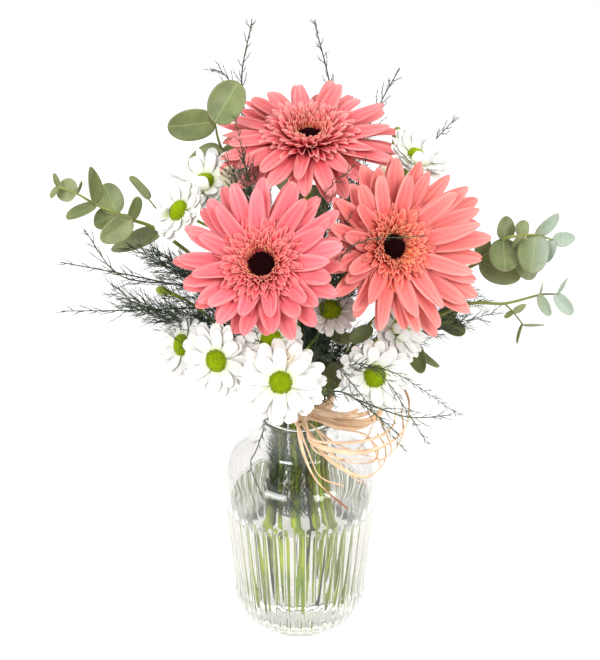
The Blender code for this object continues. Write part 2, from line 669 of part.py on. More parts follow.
def build_petals(name, centre, normal, count, inner, outer, rise, skin, material):
    """A whorl of petals that share one narrow ring, as an open surface with Solidify."""
    work = bmesh.new()
    step = 2 * math.pi / count

    def point(radius, angle):
        height = petal_height(radius, outer, rise) + skin / 2
        return work.verts.new((radius * math.cos(angle), radius * math.sin(angle), height))

    base = between(inner, outer, 0.34)
    wide = between(inner, outer, 0.70)
    blunt = between(inner, outer, 0.93)
    edge = [(point(inner, index * step), point(base, index * step)) for index in range(count)]
    for index in range(count):
        middle = (index + 0.5) * step
        spread = step * (0.43 if index % 2 else 0.46)
        hub_a, foot_a = edge[index]
        hub_b, foot_b = edge[(index + 1) % count]
        wide_a, wide_b = point(wide, middle - spread), point(wide, middle + spread)
        blunt_a, blunt_b = point(blunt, middle - spread * 0.66), point(blunt, middle + spread * 0.66)
        tip = point(outer, middle)
        work.faces.new((hub_a, foot_a, foot_b, hub_b))
        work.faces.new((foot_a, wide_a, wide_b, foot_b))
        work.faces.new((wide_a, blunt_a, tip, blunt_b, wide_b))
    mesh = bpy.data.meshes.new(name)
    work.to_mesh(mesh)
    work.free()
    part = add_part(name, mesh, material)
    solid = part.modifiers.new("skin", "SOLIDIFY")
    solid.thickness = skin
    solid.offset = 0.0
    place_facing(part, centre, normal)
    return part


def build_disc(name, centre, normal, radius, height, above, material, segments=12):
    """The flat dome in the middle of a flower, from a squashed sphere."""
    mesh = bpy.data.meshes.new(name)
    work = bmesh.new()
    bmesh.ops.create_uvsphere(work, u_segments=segments, v_segments=6, radius=1.0)
    for vertex in work.verts:
        vertex.co.x *= radius
        vertex.co.y *= radius
        vertex.co.z *= height / 2
    work.to_mesh(mesh)
    work.free()
    part = add_part(name, mesh, material)
    part.data.shade_smooth()
    place_facing(part, centre + normal * (above + height / 2), normal)
    return part


def build_crown(name, centre, normal, outer, rise):
    """The ring of short florets between a gerbera's disc and its petals."""
    inner = GERBERA_DISC + GAP
    floor = PETAL_SKIN + GAP
    shares = ((0.0, 0.0), (0.0, 0.62), (0.18, 1.0), (0.50, 0.92), (0.82, 0.55), (1.0, 0.12), (1.0, 0.0))
    profile = []
    for across, up in shares:
        radius = between(inner, CROWN_OUTER, across)
        profile.append((radius, floor + petal_height(radius, outer, rise) + CROWN_HEIGHT * up))
    mesh = bpy.data.meshes.new(name)
    edges = [(index, (index + 1) % len(profile)) for index in range(len(profile))]
    mesh.from_pydata([(r, 0.0, z) for r, z in profile], edges, [])
    part = add_part(name, mesh, "crown")
    screw = part.modifiers.new("turn", "SCREW")
    screw.steps = screw.render_steps = 24
    screw.use_merge_vertices = True
    screw.merge_threshold = 0.00001
    place_facing(part, centre, normal)
    return part


def build_gerbera(name, slot, foot, centre, face, radius, rise):
    centre, normal = from_tie(centre), facing(*face)
    build_gerbera_stem(name, slot, foot, centre, normal)
    build_petals(
        name + "_petals", centre, normal, GERBERA_PETALS, 0.0060, radius, rise, PETAL_SKIN, "coral_petal"
    )
    build_crown(name + "_crown", centre, normal, radius, rise)
    above = PETAL_SKIN + petal_height(GERBERA_DISC, radius, max(rise, 0)) + GAP
    build_disc(name + "_disc", centre, normal, GERBERA_DISC, 0.0060, above, "dark_disc")


def build_daisy(name, centre, face, radius, rise):
    centre, normal = from_tie(centre), facing(*face)
    build_petals(
        name + "_petals", centre, normal, DAISY_PETALS, 0.0030, radius, rise, DAISY_SKIN, "white_petal"
    )
    above = DAISY_SKIN + petal_height(DAISY_DISC, radius, max(rise, 0)) + GAP
    build_disc(name + "_disc", centre, normal, DAISY_DISC, 0.0046, above, "green_disc", 10)


# ---------------------------------------------------------------- raffia


def build_raffia_wrap():
    """The turns round the stems, as one band, with the knot at its front."""
    half, outer = RAFFIA_BAND / 2, RAFFIA_RING + RAFFIA_THICK
    middle = RAFFIA_RING + RAFFIA_THICK / 2
    profile = [
        (RAFFIA_RING, TIE_Z - half * 0.8), (RAFFIA_RING, TIE_Z + half * 0.8), (middle, TIE_Z + half),
        (outer, TIE_Z + half * 0.7), (outer, TIE_Z - half * 0.7), (middle, TIE_Z - half),
    ]
    ring = helper("wrap_ring", turned_mesh("raffia_wrap", [*profile, profile[0]], 28))
    reach = outer + KNOT_RADIUS * 0.3
    knot = Vector((reach * math.cos(KNOT_TURN), reach * math.sin(KNOT_TURN), TIE_Z + half * 0.5))
    mesh = bpy.data.meshes.new("knot")
    work = bmesh.new()
    bmesh.ops.create_uvsphere(work, u_segments=10, v_segments=6, radius=KNOT_RADIUS)
    bmesh.ops.translate(work, verts=work.verts, vec=knot)
    work.to_mesh(mesh)
    work.free()
    joined("raffia_wrap", [ring, helper("wrap_knot", mesh)], "raffia")


def build_strand(name, route):
    points = smooth_path([from_tie(point) for point in route], 3)
    curve = tube_curve(name, points, [RAFFIA_STRAND / 2] * len(points), 1)
    strand = bpy.data.objects.new(name, curve)
    curve.materials.append(MATERIALS["raffia"])
    PARTS.objects.link(strand)


# ---------------------------------------------------------------- the object


def build():
    build_vase()
    for name, facts in GERBERAS.items():
        build_gerbera(name, *facts)
    for name, facts in DAISIES.items():
        build_daisy(name, *facts)
    for name, facts in SPRAYS.items():
        build_spray(name, *facts)
    for name, facts in EUCALYPTUS.items():
        build_eucalyptus(name, *facts)
    for name, facts in FERNS.items():
        build_fern(name, *facts)
    build_water(WET_STEMS)
    build_raffia_wrap()
    for name, route in STRANDS.items():
        build_strand(name, route)


build()
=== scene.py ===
"""Gerberas, daisies, eucalyptus and fern in a ribbed glass vase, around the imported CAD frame."""

import math
import random

import bmesh
import bpy
import numpy as np
from mathutils import Matrix, Vector


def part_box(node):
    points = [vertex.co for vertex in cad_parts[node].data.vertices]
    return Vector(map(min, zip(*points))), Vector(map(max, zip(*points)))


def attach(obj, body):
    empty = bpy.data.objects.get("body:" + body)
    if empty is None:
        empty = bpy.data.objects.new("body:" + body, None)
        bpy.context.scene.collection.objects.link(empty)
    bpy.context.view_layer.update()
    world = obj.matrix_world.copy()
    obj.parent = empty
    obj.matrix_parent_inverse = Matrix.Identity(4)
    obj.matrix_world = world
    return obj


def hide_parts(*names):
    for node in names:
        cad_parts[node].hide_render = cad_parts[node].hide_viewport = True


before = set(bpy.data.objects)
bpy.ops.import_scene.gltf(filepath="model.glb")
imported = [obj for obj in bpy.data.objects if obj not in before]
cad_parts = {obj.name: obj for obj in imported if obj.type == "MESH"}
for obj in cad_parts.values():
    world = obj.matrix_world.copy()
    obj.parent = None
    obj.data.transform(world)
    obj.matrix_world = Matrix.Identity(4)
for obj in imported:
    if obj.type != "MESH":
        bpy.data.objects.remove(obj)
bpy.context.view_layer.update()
rng = random.Random(7)
TAU = 2 * math.pi

# From the CAD part: the middle and the top of the tie, the ring of slots that the stems run through, which
# widens and turns towards their feet, and the vase's ribs.
TIE, TIE_TOP = 0.1980, 0.2068
SLOT_RADIUS, SPLAY, SPLAY_POWER, TWIST = 0.0175, 0.95, 1.7, math.radians(24)
RIBS = 44
# Towards the eye of someone who looks down at the flowers from the front, and up across that view.
VIEW_TILT = math.radians(30)
FRONT = np.array((0.0, -math.cos(VIEW_TILT), math.sin(VIEW_TILT)))
UPWARD = np.array((0.0, math.sin(VIEW_TILT), math.cos(VIEW_TILT)))


def metres(value):
    """Millimetres, which the tables of points and sizes are in, as metres, however they are nested."""
    return value / 1000 if isinstance(value, (int, float)) else tuple(metres(part) for part in value)


def vary(share):
    return 1 + rng.uniform(-share, share)


def tie_point(towards, radius):
    """A point at the tie's top, off the axis by radius on the side of a point above."""
    side = np.array(towards[:2])
    return np.array((*(side / np.linalg.norm(side) * radius), TIE_TOP))


def linked(name, data):
    """A new object of the scene, of a mesh, a lamp or a camera."""
    piece = bpy.data.objects.new(name, data)
    bpy.context.scene.collection.objects.link(piece)
    return piece


def show(piece, slot, *nodes):
    """The piece rides on the one body and stands for its CAD nodes. slot is not used."""
    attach(piece, "root")
    if nodes:
        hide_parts(*nodes)
    return piece


# ---------------------------------------------------------------- node materials


class Nodes:
    """A material's or world's nodes. An input is a socket to link, a value, or None to leave it."""

    def __init__(self, owner):
        owner.use_nodes = True
        self.owner, self.tree = owner, owner.node_tree

    def add(self, kind, inputs=(), **settings):
        node = self.tree.nodes.new("ShaderNode" + kind)
        for key, value in settings.items():
            setattr(node, key, value)
        for index, value in enumerate(inputs):
            self.feed(node.inputs[index], value)
        return node

    def feed(self, socket, value):
        if isinstance(value, bpy.types.NodeSocket):
            self.tree.links.new(value, socket)
        elif value is not None:
            socket.default_value = value

    def maths(self, operation, a, b=None, clamp=False):
        return self.add("Math", (a, b), operation=operation, use_clamp=clamp).outputs[0]

    def times(self, a, b):
        return self.maths("MULTIPLY", a, b)

    def ramp(self, factor, *stops):
        """A colour ramp, or a grey one where a stop is a number."""
        node = self.add("ValToRGB", (factor,))
        elements = node.color_ramp.elements
        while len(elements) < len(stops):
            elements.new(0.5)
        for element, (place, colour) in zip(elements, stops):
            element.position = place
            element.color = (colour, colour, colour, 1) if isinstance(colour, (int, float)) else (*colour, 1)
        return node.outputs[0]

    def mix(self, factor, a, b, blend="MIX"):
        node = self.add("Mix", data_type="RGBA", blend_type=blend)
        for index, value in ((0, factor), (6, a), (7, b)):
            self.feed(node.inputs[index], (*value, 1) if isinstance(value, tuple) else value)
        return node.outputs[2]

    def surface_uv(self):
        """The u, across, and v, along, of a petal, leaf or strand, each from 0 to 1, and its UV vector."""
        uv = self.add("UVMap", uv_map="surface").outputs[0]
        split = self.add("SeparateXYZ", (uv,))
        return split.outputs[0], split.outputs[1], uv

    def off_middle(self, u):
        """0 along a petal's middle and 1 at its margins."""
        return self.maths("ABSOLUTE", self.times(self.maths("SUBTRACT", u, 0.5), 2.0))

    def attribute(self, name):
        return self.add("Attribute", attribute_name=name).outputs["Fac"]

    def place(self):
        return self.add("TexCoord").outputs["Object"]

    def noise(self, place, scale, detail):
        return self.add("TexNoise", (place, None, scale, detail)).outputs[0]

    def stretched_noise(self, uv, across, along, seed, detail=3.0):
        """Noise drawn out along a petal's or strand's length."""
        shift = self.add("CombineXYZ", (0.0, 0.0, seed)).outputs[0]
        scaled = self.add("VectorMath", (uv, (across, along, 1.0)), operation="MULTIPLY").outputs[0]
        moved = self.add("VectorMath", (scaled, shift), operation="ADD").outputs[0]
        return self.noise(moved, 1.0, detail)

    def paint(self, colour, height=None, strength=0.0, distance=0.0):
        """The material, with its colour and a bump from height."""
        self.tree.links.new(colour, self.shader.inputs["Base Color"])
        if height is not None:
            node = self.add("Bump", (strength, distance))
            self.tree.links.new(height, node.inputs["Height"])
            self.tree.links.new(node.outputs[0], self.shader.inputs["Normal"])
        return self.owner


MATERIALS = {}  # by the names given here, which Blender may number


def look(name, roughness, **sockets):
    """The nodes of a new Principled material. Socket names use _ for a space."""
    t = Nodes(bpy.data.materials.new(name))
    MATERIALS[name] = t.owner
    t.shader = t.tree.nodes["Principled BSDF"]
    t.shader.inputs["Roughness"].default_value = roughness
    for key, value in sockets.items():
        t.shader.inputs[key.replace("_", " ")].default_value = value
    return t


def petal_material(name, along, edge, vein_and_pleat_shade, veins, roughness=0.55, depth=0.0003, subsurface=0.12):
    """along: places and colours from base to tip. edge: the margin's colour; on the white and cream petals it
    is darker, painted shade along the margins, and on the gerberas paler. vein, veins: the colour of the fine
    streaks and how many there are across; the vein colour also paints shade into the valleys of the pleats.
    depth: how deep they are pressed."""
    t = look(name, roughness, Subsurface_Weight=subsurface, Subsurface_Radius=(0.004, 0.002, 0.0015),
             Subsurface_Scale=1.0, Specular_IOR_Level=0.3)
    u, v, uv = t.surface_uv()
    tone = t.attribute("tone")
    seed = t.times(tone, 37.0)
    colour = t.ramp(v, *along)
    off = t.off_middle(u)
    # The margin colour: on the white and cream petals a darker one, painted shade along the margins.
    rim = t.maths("POWER", off, 5.0)
    colour = t.mix(t.times(rim, 0.75), colour, edge)
    streak = t.stretched_noise(uv, veins, 0.9, seed)
    lines = t.ramp(streak, (0.42, 0.0), (0.58, 1.0))
    colour = t.mix(t.times(lines, 0.45), colour, vein_and_pleat_shade)
    # Painted shade: the vein colour darkens the valleys of the pleats.
    painted_pleat_shade = t.maths("COSINE", t.times(off, 3 * math.pi))
    painted_pleat_shade = t.ramp(t.times(painted_pleat_shade, -1.0), (0.35, 0.0), (1.0, 1.0))
    colour = t.mix(t.times(painted_pleat_shade, 0.30), colour, vein_and_pleat_shade)
    shade = t.ramp(tone, (0.0, 0.80), (1.0, 1.0))
    colour = t.mix(1.0, colour, shade, "MULTIPLY")
    return t.paint(colour, streak, 0.55, depth)


def crown_material(name, outer, inner):
    """Short florets, pink outside and warmer towards the eye. outer, inner: (base, middle, tip) colours; the
    dark base is partly their own colour, partly painted shade down among the crowded florets.
    """
    t = look(name, 0.5, Subsurface_Weight=0.1, Subsurface_Radius=(0.003, 0.0015, 0.001),
             Subsurface_Scale=1.0, Specular_IOR_Level=0.3)
    u, v, uv = t.surface_uv()
    layer, tone = t.attribute("layer"), t.attribute("tone")
    places = (0.0, 0.45, 1.0)
    far = t.ramp(v, *zip(places, outer))
    near = t.ramp(v, *zip(places, inner))
    colour = t.mix(layer, far, near)
    off = t.off_middle(u)
    colour = t.mix(t.times(t.maths("POWER", off, 3.0), 0.25), colour, (0.95, 0.50, 0.45))
    shade = t.ramp(tone, (0.0, 0.78), (1.0, 1.0))
    colour = t.mix(1.0, colour, shade, "MULTIPLY")
    return t.paint(colour, t.stretched_noise(uv, 9.0, 0.8, t.times(tone, 41.0)), 0.5, 0.0002)


def bead_material(name, low, high, roughness, gloss=0.25):
    """A disc's beads: low in the hollows between them, where it is painted shade, and on the dark ones; high
    on the bright ones.
    """
    t = look(name, roughness, Specular_IOR_Level=gloss)
    place = t.place()
    noise = t.noise(place, 900.0, 2.0)
    tone = t.attribute("tone")
    share = t.maths("MULTIPLY", t.maths("ADD", noise, tone), 0.6, clamp=True)
    colour = t.mix(share, low, high)
    return t.paint(colour, noise, 0.4, 0.0002)


def stem_material(name, colours, roughness=0.42):
    """A fresh stem with fine lines along it and a slow change of green."""
    t = look(name, roughness, Subsurface_Weight=0.05, Subsurface_Scale=0.002)
    place = t.place()
    slow = t.noise(place, 28.0, 3.0)
    drawn = t.add("VectorMath", (place, (1400.0, 1400.0, 70.0)), operation="MULTIPLY").outputs[0]
    lines = t.noise(drawn, 1.0, 2.0)
    colour = t.ramp(slow, *zip((0.32, 0.52, 0.70), colours))
    colour = t.mix(t.times(lines, 0.35), colour, colours[0])
    return t.paint(colour, lines, 0.35, 0.0002)


def leaf_material(name):
    """Eucalyptus: grey-green with a waxy bloom, pale veins and a thin brownish margin. The young leaves at
    the outer ends of the right sprigs are paler and bluer."""
    t = look(name, 0.5, Subsurface_Weight=0.06, Subsurface_Scale=0.002)
    u, v, _ = t.surface_uv()
    tone, rim = t.attribute("tone"), t.attribute("rim")
    place = t.place()
    cloud = t.noise(place, 70.0, 4.0)
    fine = t.noise(place, 420.0, 3.0)
    fresh = t.mix(t.ramp(cloud, (0.34, 0), (0.66, 1)), (0.070, 0.100, 0.024), (0.150, 0.185, 0.058))
    bloom = t.mix(t.ramp(cloud, (0.3, 0), (0.7, 1)), (0.125, 0.155, 0.052), (0.215, 0.245, 0.098))
    colour = t.mix(t.ramp(tone, (0.2, 0.0), (0.9, 1.0)), fresh, bloom)
    outward = t.add("SeparateXYZ", (place,)).outputs[0]
    young = t.times(t.ramp(outward, (0.157, 0.0), (0.176, 1.0)), 0.85)
    colour = t.mix(young, colour, (0.310, 0.385, 0.320))
    off = t.maths("ABSOLUTE", t.maths("SUBTRACT", u, 0.5))
    midrib = t.ramp(off, (0.0, 1.0), (0.022, 0.0))
    slanted = t.maths("SUBTRACT", v, t.times(off, 0.75))
    side = t.maths("ABSOLUTE", t.maths("SINE", t.times(slanted, 34.0)))
    veins = t.times(t.ramp(side, (0.0, 1.0), (0.10, 0.0)), 0.35)
    both = t.maths("MAXIMUM", t.times(midrib, 0.75), veins)
    colour = t.mix(t.times(both, 0.6), colour, (0.36, 0.41, 0.17))
    specks = t.times(t.ramp(fine, (0.55, 0.0), (0.75, 1.0)), 0.35)
    colour = t.mix(specks, colour, (0.07, 0.10, 0.03))
    colour = t.mix(t.ramp(rim, (0.955, 0.0), (0.99, 0.4)), colour, (0.30, 0.20, 0.10))
    return t.paint(colour, t.maths("ADD", both, fine), 0.3, 0.0003)


def strand_material(name, colours, end=None):
    """Dry raffia: long fibres, from pale straw to warm tan. end: the colour of its last third."""
    t = look(name, 0.62, Subsurface_Weight=0.05, Subsurface_Scale=0.002)
    _, v, uv = t.surface_uv()
    tone = t.attribute("tone")
    fibres = t.stretched_noise(uv, 13.0, 9.0, t.times(tone, 23.0), 4.0)
    colour = t.ramp(fibres, *zip((0.30, 0.50, 0.72), colours))
    patches = t.stretched_noise(uv, 1.0, 14.0, t.times(tone, 61.0), 2.0)
    colour = t.mix(t.times(t.ramp(patches, (0.5, 0.0), (0.75, 1.0)), 0.5), colour, colours[0])
    if end:
        colour = t.mix(t.ramp(v, (0.60, 0.0), (0.72, 1.0)), colour, t.mix(fibres, end, colours[0]))
    return t.paint(colour, fibres, 0.7, 0.0005)


STRAW = (0.50, 0.24, 0.11), (0.84, 0.58, 0.37), (0.94, 0.80, 0.62)
# The rays darken towards their base: partly their own deeper colour, partly painted shade near the crown.
petal_material(
    "rays_left", ((0.0, (0.62, 0.050, 0.065)), (0.30, (0.76, 0.110, 0.135)),
                  (0.70, (0.82, 0.185, 0.205)), (1.0, (0.87, 0.300, 0.300))),
    (0.90, 0.42, 0.41), (0.70, 0.070, 0.100), 15.0)
petal_material(
    "rays_right", ((0.0, (0.64, 0.060, 0.055)), (0.30, (0.79, 0.140, 0.130)),
                   (0.70, (0.85, 0.235, 0.215)), (1.0, (0.90, 0.360, 0.325))),
    (0.92, 0.46, 0.42), (0.74, 0.105, 0.095), 15.0)
petal_material(
    "rays_top", ((0.0, (0.60, 0.030, 0.045)), (0.30, (0.76, 0.110, 0.125)),
                 (0.70, (0.83, 0.215, 0.220)), (1.0, (0.88, 0.345, 0.335))),
    (0.91, 0.46, 0.43), (0.68, 0.065, 0.080), 15.0)
# The florets' dark base colours are partly painted shade where they crowd together.
crown_material(
    "crown_left", ((0.58, 0.020, 0.035), (0.76, 0.090, 0.105), (0.85, 0.200, 0.200)),
    ((0.62, 0.030, 0.030), (0.82, 0.120, 0.100), (0.93, 0.380, 0.260)))
crown_material(
    "crown_right", ((0.60, 0.025, 0.020), (0.79, 0.105, 0.075), (0.87, 0.220, 0.165)),
    ((0.64, 0.045, 0.015), (0.84, 0.160, 0.060), (0.95, 0.440, 0.200)))
crown_material(
    "crown_top", ((0.56, 0.012, 0.025), (0.76, 0.095, 0.110), (0.90, 0.370, 0.350)),
    ((0.60, 0.025, 0.020), (0.80, 0.150, 0.110), (0.93, 0.460, 0.330)))
bead_material("dark_disc", (0.004, 0.0005, 0.0008), (0.024, 0.002, 0.003), 0.9, 0.06)
bead_material("stamens", (0.70, 0.16, 0.04), (0.94, 0.52, 0.20), 0.5)
# The white and cream petals' darker margin and vein colours paint shade along their margins and in their
# pleats.
petal_material(
    "white_petal", ((0.0, (0.38, 0.52, 0.06)), (0.14, (0.60, 0.68, 0.26)), (0.28, (0.82, 0.82, 0.68)),
                    (0.50, (0.87, 0.85, 0.81))),
    (0.76, 0.74, 0.71), (0.76, 0.74, 0.68), 9.0, 0.5, 0.0002, 0.15)
petal_material(
    "cream_petal", ((0.0, (0.50, 0.58, 0.20)), (0.25, (0.80, 0.72, 0.46)), (0.60, (0.88, 0.78, 0.58)),
                    (1.0, (0.86, 0.72, 0.54))),
    (0.74, 0.62, 0.48), (0.72, 0.58, 0.40), 9.0, 0.5, 0.0002, 0.15)
bead_material("green_disc", (0.075, 0.10, 0.001), (0.34, 0.48, 0.002), 0.6, 0.12)
stem_material("flower_stem", ((0.14, 0.22, 0.006), (0.36, 0.46, 0.010), (0.56, 0.60, 0.02)))
stem_material("spray_stem", ((0.08, 0.14, 0.006), (0.24, 0.34, 0.010), (0.46, 0.52, 0.02)))
stem_material("twig", ((0.10, 0.09, 0.02), (0.20, 0.24, 0.04), (0.32, 0.38, 0.08)), 0.5)
leaf_material("eucalyptus")
stem_material("fern", ((0.012, 0.022, 0.010), (0.030, 0.055, 0.022), (0.07, 0.11, 0.04)), 0.55)
strand_material("raffia", STRAW)
strand_material("raffia_tail", STRAW, (0.24, 0.030, 0.022))

# ---------------------------------------------------------------- surfaces


def even_uvs(columns, rows):
    u, v = np.meshgrid(np.linspace(0, 1, columns), np.linspace(0, 1, rows))
    return np.stack([u, v], -1).reshape(-1, 2)


def walls(rows, sides, first=0):
    """Quads between rings of points, that many sides round, from the point first on."""
    return [(a + side, a + (side + 1) % sides, a + sides + (side + 1) % sides, a + sides + side)
            for a in range(first, first + (rows - 1) * sides, sides) for side in range(sides)]


def closed_rings(rows, sides):
    """The faces of a tube of rings, with one at each end."""
    last = (rows - 1) * sides
    return [*walls(rows, sides), tuple(reversed(range(sides))), tuple(range(last, last + sides))]


class Surfaces:
    """Collects grids, polar leaves, tubes and beads, and makes one mesh of them."""

    def __init__(self):
        self.points, self.faces, self.uvs = [], [], []
        self.facts = {"tone": [], "layer": [], "rim": []}
        self.count = 0

    def take(self, points, faces, uvs=None, tone=0.5, layer=0.0, rim=0.0):
        """points (n, 3), faces as index tuples from 0, uvs (n, 2), and what the material reads at a point."""
        self.points.append(points)
        self.uvs.append(np.zeros((len(points), 2)) if uvs is None else uvs)
        self.faces += [tuple(self.count + index for index in face) for face in faces]
        for name, value in (("tone", tone), ("layer", layer), ("rim", rim)):
            self.facts[name].append(np.broadcast_to(np.asarray(value, float), (len(points),)))
        self.count += len(points)

    def grid(self, points, tone=0.5, layer=0.0):
        """points (rows, columns, 3): rows run along the piece, and columns across it."""
        rows, columns = points.shape[:2]
        index = np.arange(rows * columns).reshape(rows, columns)
        quads = np.stack([index[:-1, :-1], index[:-1, 1:], index[1:, 1:], index[1:, :-1]], -1)
        self.take(points.reshape(-1, 3), quads.reshape(-1, 4).tolist(), even_uvs(columns, rows), tone, layer)

    def tube(self, path, radii, sides=8, tone=0.5):
        """A round tube with closed ends along path."""
        path, radii = np.asarray(path, float), np.asarray(radii, float)
        sides_at, ups = path_frames(path)
        angle = np.linspace(0, TAU, sides, endpoint=False)
        ring = np.cos(angle)[None, :, None] * sides_at[:, None] + np.sin(angle)[None, :, None] * ups[:, None]
        points = (path[:, None] + ring * radii[:, None, None]).reshape(-1, 3)
        self.take(points, closed_rings(len(path), sides), even_uvs(sides, len(path)), tone)

    def needles(self, starts, ends, radius, tone=0.5):
        """Fine three-sided spikes from starts to ends."""
        starts, ends = np.asarray(starts, float), np.asarray(ends, float)
        way = ends - starts
        side = np.cross(way, (0.31, 0.52, 0.79))
        side /= np.linalg.norm(side, axis=1)[:, None]
        up = np.cross(side, way)
        up /= np.linalg.norm(up, axis=1)[:, None]
        thirds = (0, TAU / 3, 2 * TAU / 3)
        corners = [starts + radius * (math.cos(a) * side + math.sin(a) * up) for a in thirds]
        points = np.stack([*corners, ends], 1).reshape(-1, 3)
        faces = []
        for index in range(len(starts)):
            a = 4 * index
            faces += [(a, a + 1, a + 3), (a + 1, a + 2, a + 3), (a + 2, a, a + 3), (a, a + 2, a + 1)]
        self.take(points, faces, tone=tone)

    def beads(self, centres, sizes, ways, tones, stretch=1.0):
        """Small round beads, drawn out along their ways."""
        ball = bmesh.new()
        bmesh.ops.create_icosphere(ball, subdivisions=1, radius=1.0)
        base = np.array([vertex.co for vertex in ball.verts])
        faces = [tuple(vertex.index for vertex in face.verts) for face in ball.faces]
        ball.free()
        for centre, size, way, tone in zip(centres, sizes, ways, tones):
            along = (base @ way)[:, None] * np.asarray(way)[None]
            self.take(centre + size * (base + along * (stretch - 1)), faces, tone=tone)

    def build(self, name, material, matrix=None, thickness=0.0):
        mesh = bpy.data.meshes.new(name)
        points = np.concatenate(self.points)
        if matrix is not None:
            turn = np.array(matrix)
            points = points @ turn[:3, :3].T + turn[:3, 3]
        mesh.from_pydata(points.tolist(), [], self.faces)
        corners = np.empty(len(mesh.loops), int)
        mesh.loops.foreach_get("vertex_index", corners)
        layer = mesh.uv_layers.new(name="surface")
        layer.data.foreach_set("uv", np.concatenate(self.uvs)[corners].astype(np.float32).ravel())
        for fact, values in self.facts.items():
            data = mesh.attributes.new(fact, "FLOAT", "POINT")
            data.data.foreach_set("value", np.concatenate(values).astype(np.float32))
        mesh.shade_smooth()
        mesh.materials.append(MATERIALS[material])
        piece = linked(name, mesh)
        if thickness:
            skin = piece.modifiers.new("skin", "SOLIDIFY")
            skin.thickness, skin.offset = thickness, 0.0
        return piece


def path_frames(path):
    """Two unit vectors across the path at each point, turned as little as possible along it."""
    ways = np.gradient(path, axis=0)
    ways /= np.linalg.norm(ways, axis=1)[:, None]
    side = np.cross(ways[0], (0.0, 0.0, 1.0))
    if np.linalg.norm(side) < 0.05:
        side = np.cross(ways[0], (0.0, 1.0, 0.0))
    sides, ups = [], []
    for way in ways:
        side = side - way * np.dot(side, way)
        side /= np.linalg.norm(side)
        sides.append(side)
        ups.append(np.cross(way, side))
    return np.array(sides), np.array(ups)


def smooth_path(points, steps):
    """A Catmull-Rom curve through the points, with equal steps between each two."""
    knots = np.asarray(points, float)
    ends = np.vstack([2 * knots[0] - knots[1], knots, 2 * knots[-1] - knots[-2]])
    path = []
    for index in range(len(knots) - 1):
        a, b, c, d = ends[index : index + 4]
        for t in np.linspace(0, 1, steps, endpoint=False):
            square, cube = 2 * a - 5 * b + 4 * c - d, 3 * b - a - 3 * c + d
            path.append(0.5 * (2 * b + (c - a) * t + square * t**2 + cube * t**3))
    return np.array([*path, knots[-1]])


def distances(path):
    """How far along the path each of its points is."""
    return np.concatenate([[0], np.cumsum(np.linalg.norm(np.diff(path, axis=0), axis=1))])


def value_at(at, lengths, values):
    return np.array([np.interp(at, lengths, values[:, axis]) for axis in range(3)])


def point_along(path, share):
    lengths = distances(path)
    return value_at(share * lengths[-1], lengths, path)


# ---------------------------------------------------------------- petals and flower heads


def outline(v, base, widest, point):
    """A petal's half width along it, as a share of its widest. point: how sharp its tip is."""
    grow = base + (1 - base) * np.sin(math.pi / 2 * np.minimum(v / widest, 1))
    fall = np.sqrt(np.clip(1 - (np.maximum(v - widest, 0) / (1.015 - widest)) ** 2, 0, 1))
    return grow * fall**point


# The shapes of a gerbera's rays and florets and of a daisy's petals.
RAY, FLORET, WHITE = (0.42, 0.57, 0.92), (0.50, 0.48, 1.0), (0.50, 0.68, 0.70)
STEPS = 60  # along a petal's middle line


def petal(length, width, shape, rows, columns, start, end, cup=0.0, pleat=0.0, ripple=0.0, notch=0.0,
          sway=0.0, roll=0.0, radius=0.0, height=0.0):
    """A petal's grid of points, out along +X from radius and height. start and end: its slope in degrees.

    shape: the width at its base and the place of its widest part, both as shares, and how sharp its tip is.
    cup, pleat and ripple lift its margins, its folds and its edge. notch: the dent in its tip. sway and roll
    turn it to a side and about its own length.
    """
    u, v = np.meshgrid(np.linspace(-1, 1, columns), 1 - (1 - np.linspace(0, 1, rows)) ** 1.5)
    half = width / 2 * outline(v, *shape)
    reach = v * (1 - 0.025 * u**2 * v) - notch * np.exp(-((u / 0.22) ** 2)) * v**10
    fine = np.linspace(0, 1, STEPS)
    slope = np.radians(start + (end - start) * fine)
    out = np.concatenate([[0], np.cumsum(np.cos(slope[:-1]))]) * length / (STEPS - 1)
    up = np.concatenate([[0], np.cumsum(np.sin(slope[:-1]))]) * length / (STEPS - 1)
    here = np.radians(start + (end - start) * reach)
    fold = np.cos(3 * math.pi * u) * np.sin(math.pi * np.clip(v * 0.95, 0, 1))
    lift = cup * half * u**2 + pleat * fold
    lift = lift + ripple * u**2 * np.sin(7.5 * v + 2.1 * u + 90 * length + 9 * height * 1000)
    across = half * u
    tilt = math.radians(roll) * v
    across, lift = across * np.cos(tilt) - lift * np.sin(tilt), across * np.sin(tilt) + lift * np.cos(tilt)
    x = radius + np.interp(reach, fine, out) - np.sin(here) * lift
    z = height + np.interp(reach, fine, up) + np.cos(here) * lift
    y = across + sway * length * v**2
    return np.stack([x, y, z], -1)


def turned(points, angle):
    cos, sin = math.cos(angle), math.sin(angle)
    x, y, z = points[..., 0], points[..., 1], points[..., 2]
    return np.stack([x * cos - y * sin, x * sin + y * cos, z], -1)


def node_points(node):
    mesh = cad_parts[node].data
    points = np.empty(len(mesh.vertices) * 3, np.float32)
    mesh.vertices.foreach_get("co", points)
    return np.unique(points.reshape(-1, 3).astype(float).round(6), axis=0)


def head_frame(head):
    """A flower head's matrix, with its origin on the whorl's underside and +Z out of its face, its whorl's
    radius and the height of its petals' tips, all measured on its CAD disc and whorl."""
    disc, whorl = node_points(head + "_disc"), node_points(head + "_petals")
    centre = (disc.min(0) + disc.max(0)) / 2
    _, _, axes = np.linalg.svd(disc - disc.mean(0))
    normal = axes[2] if axes[2][2] > 0 else -axes[2]
    rise = (whorl - centre) @ normal
    reach = np.linalg.norm(whorl - centre - rise[:, None] * normal, axis=1)
    inner, outer = reach.min(), reach.max()
    base = rise[reach < inner + 0.0008].min()
    tips = rise[reach > outer - 0.0008].mean()
    turn = Vector(normal).to_track_quat("Z", "Y").to_matrix().to_4x4()
    return Matrix.Translation(Vector(centre + normal * base)) @ turn, outer, tips - base


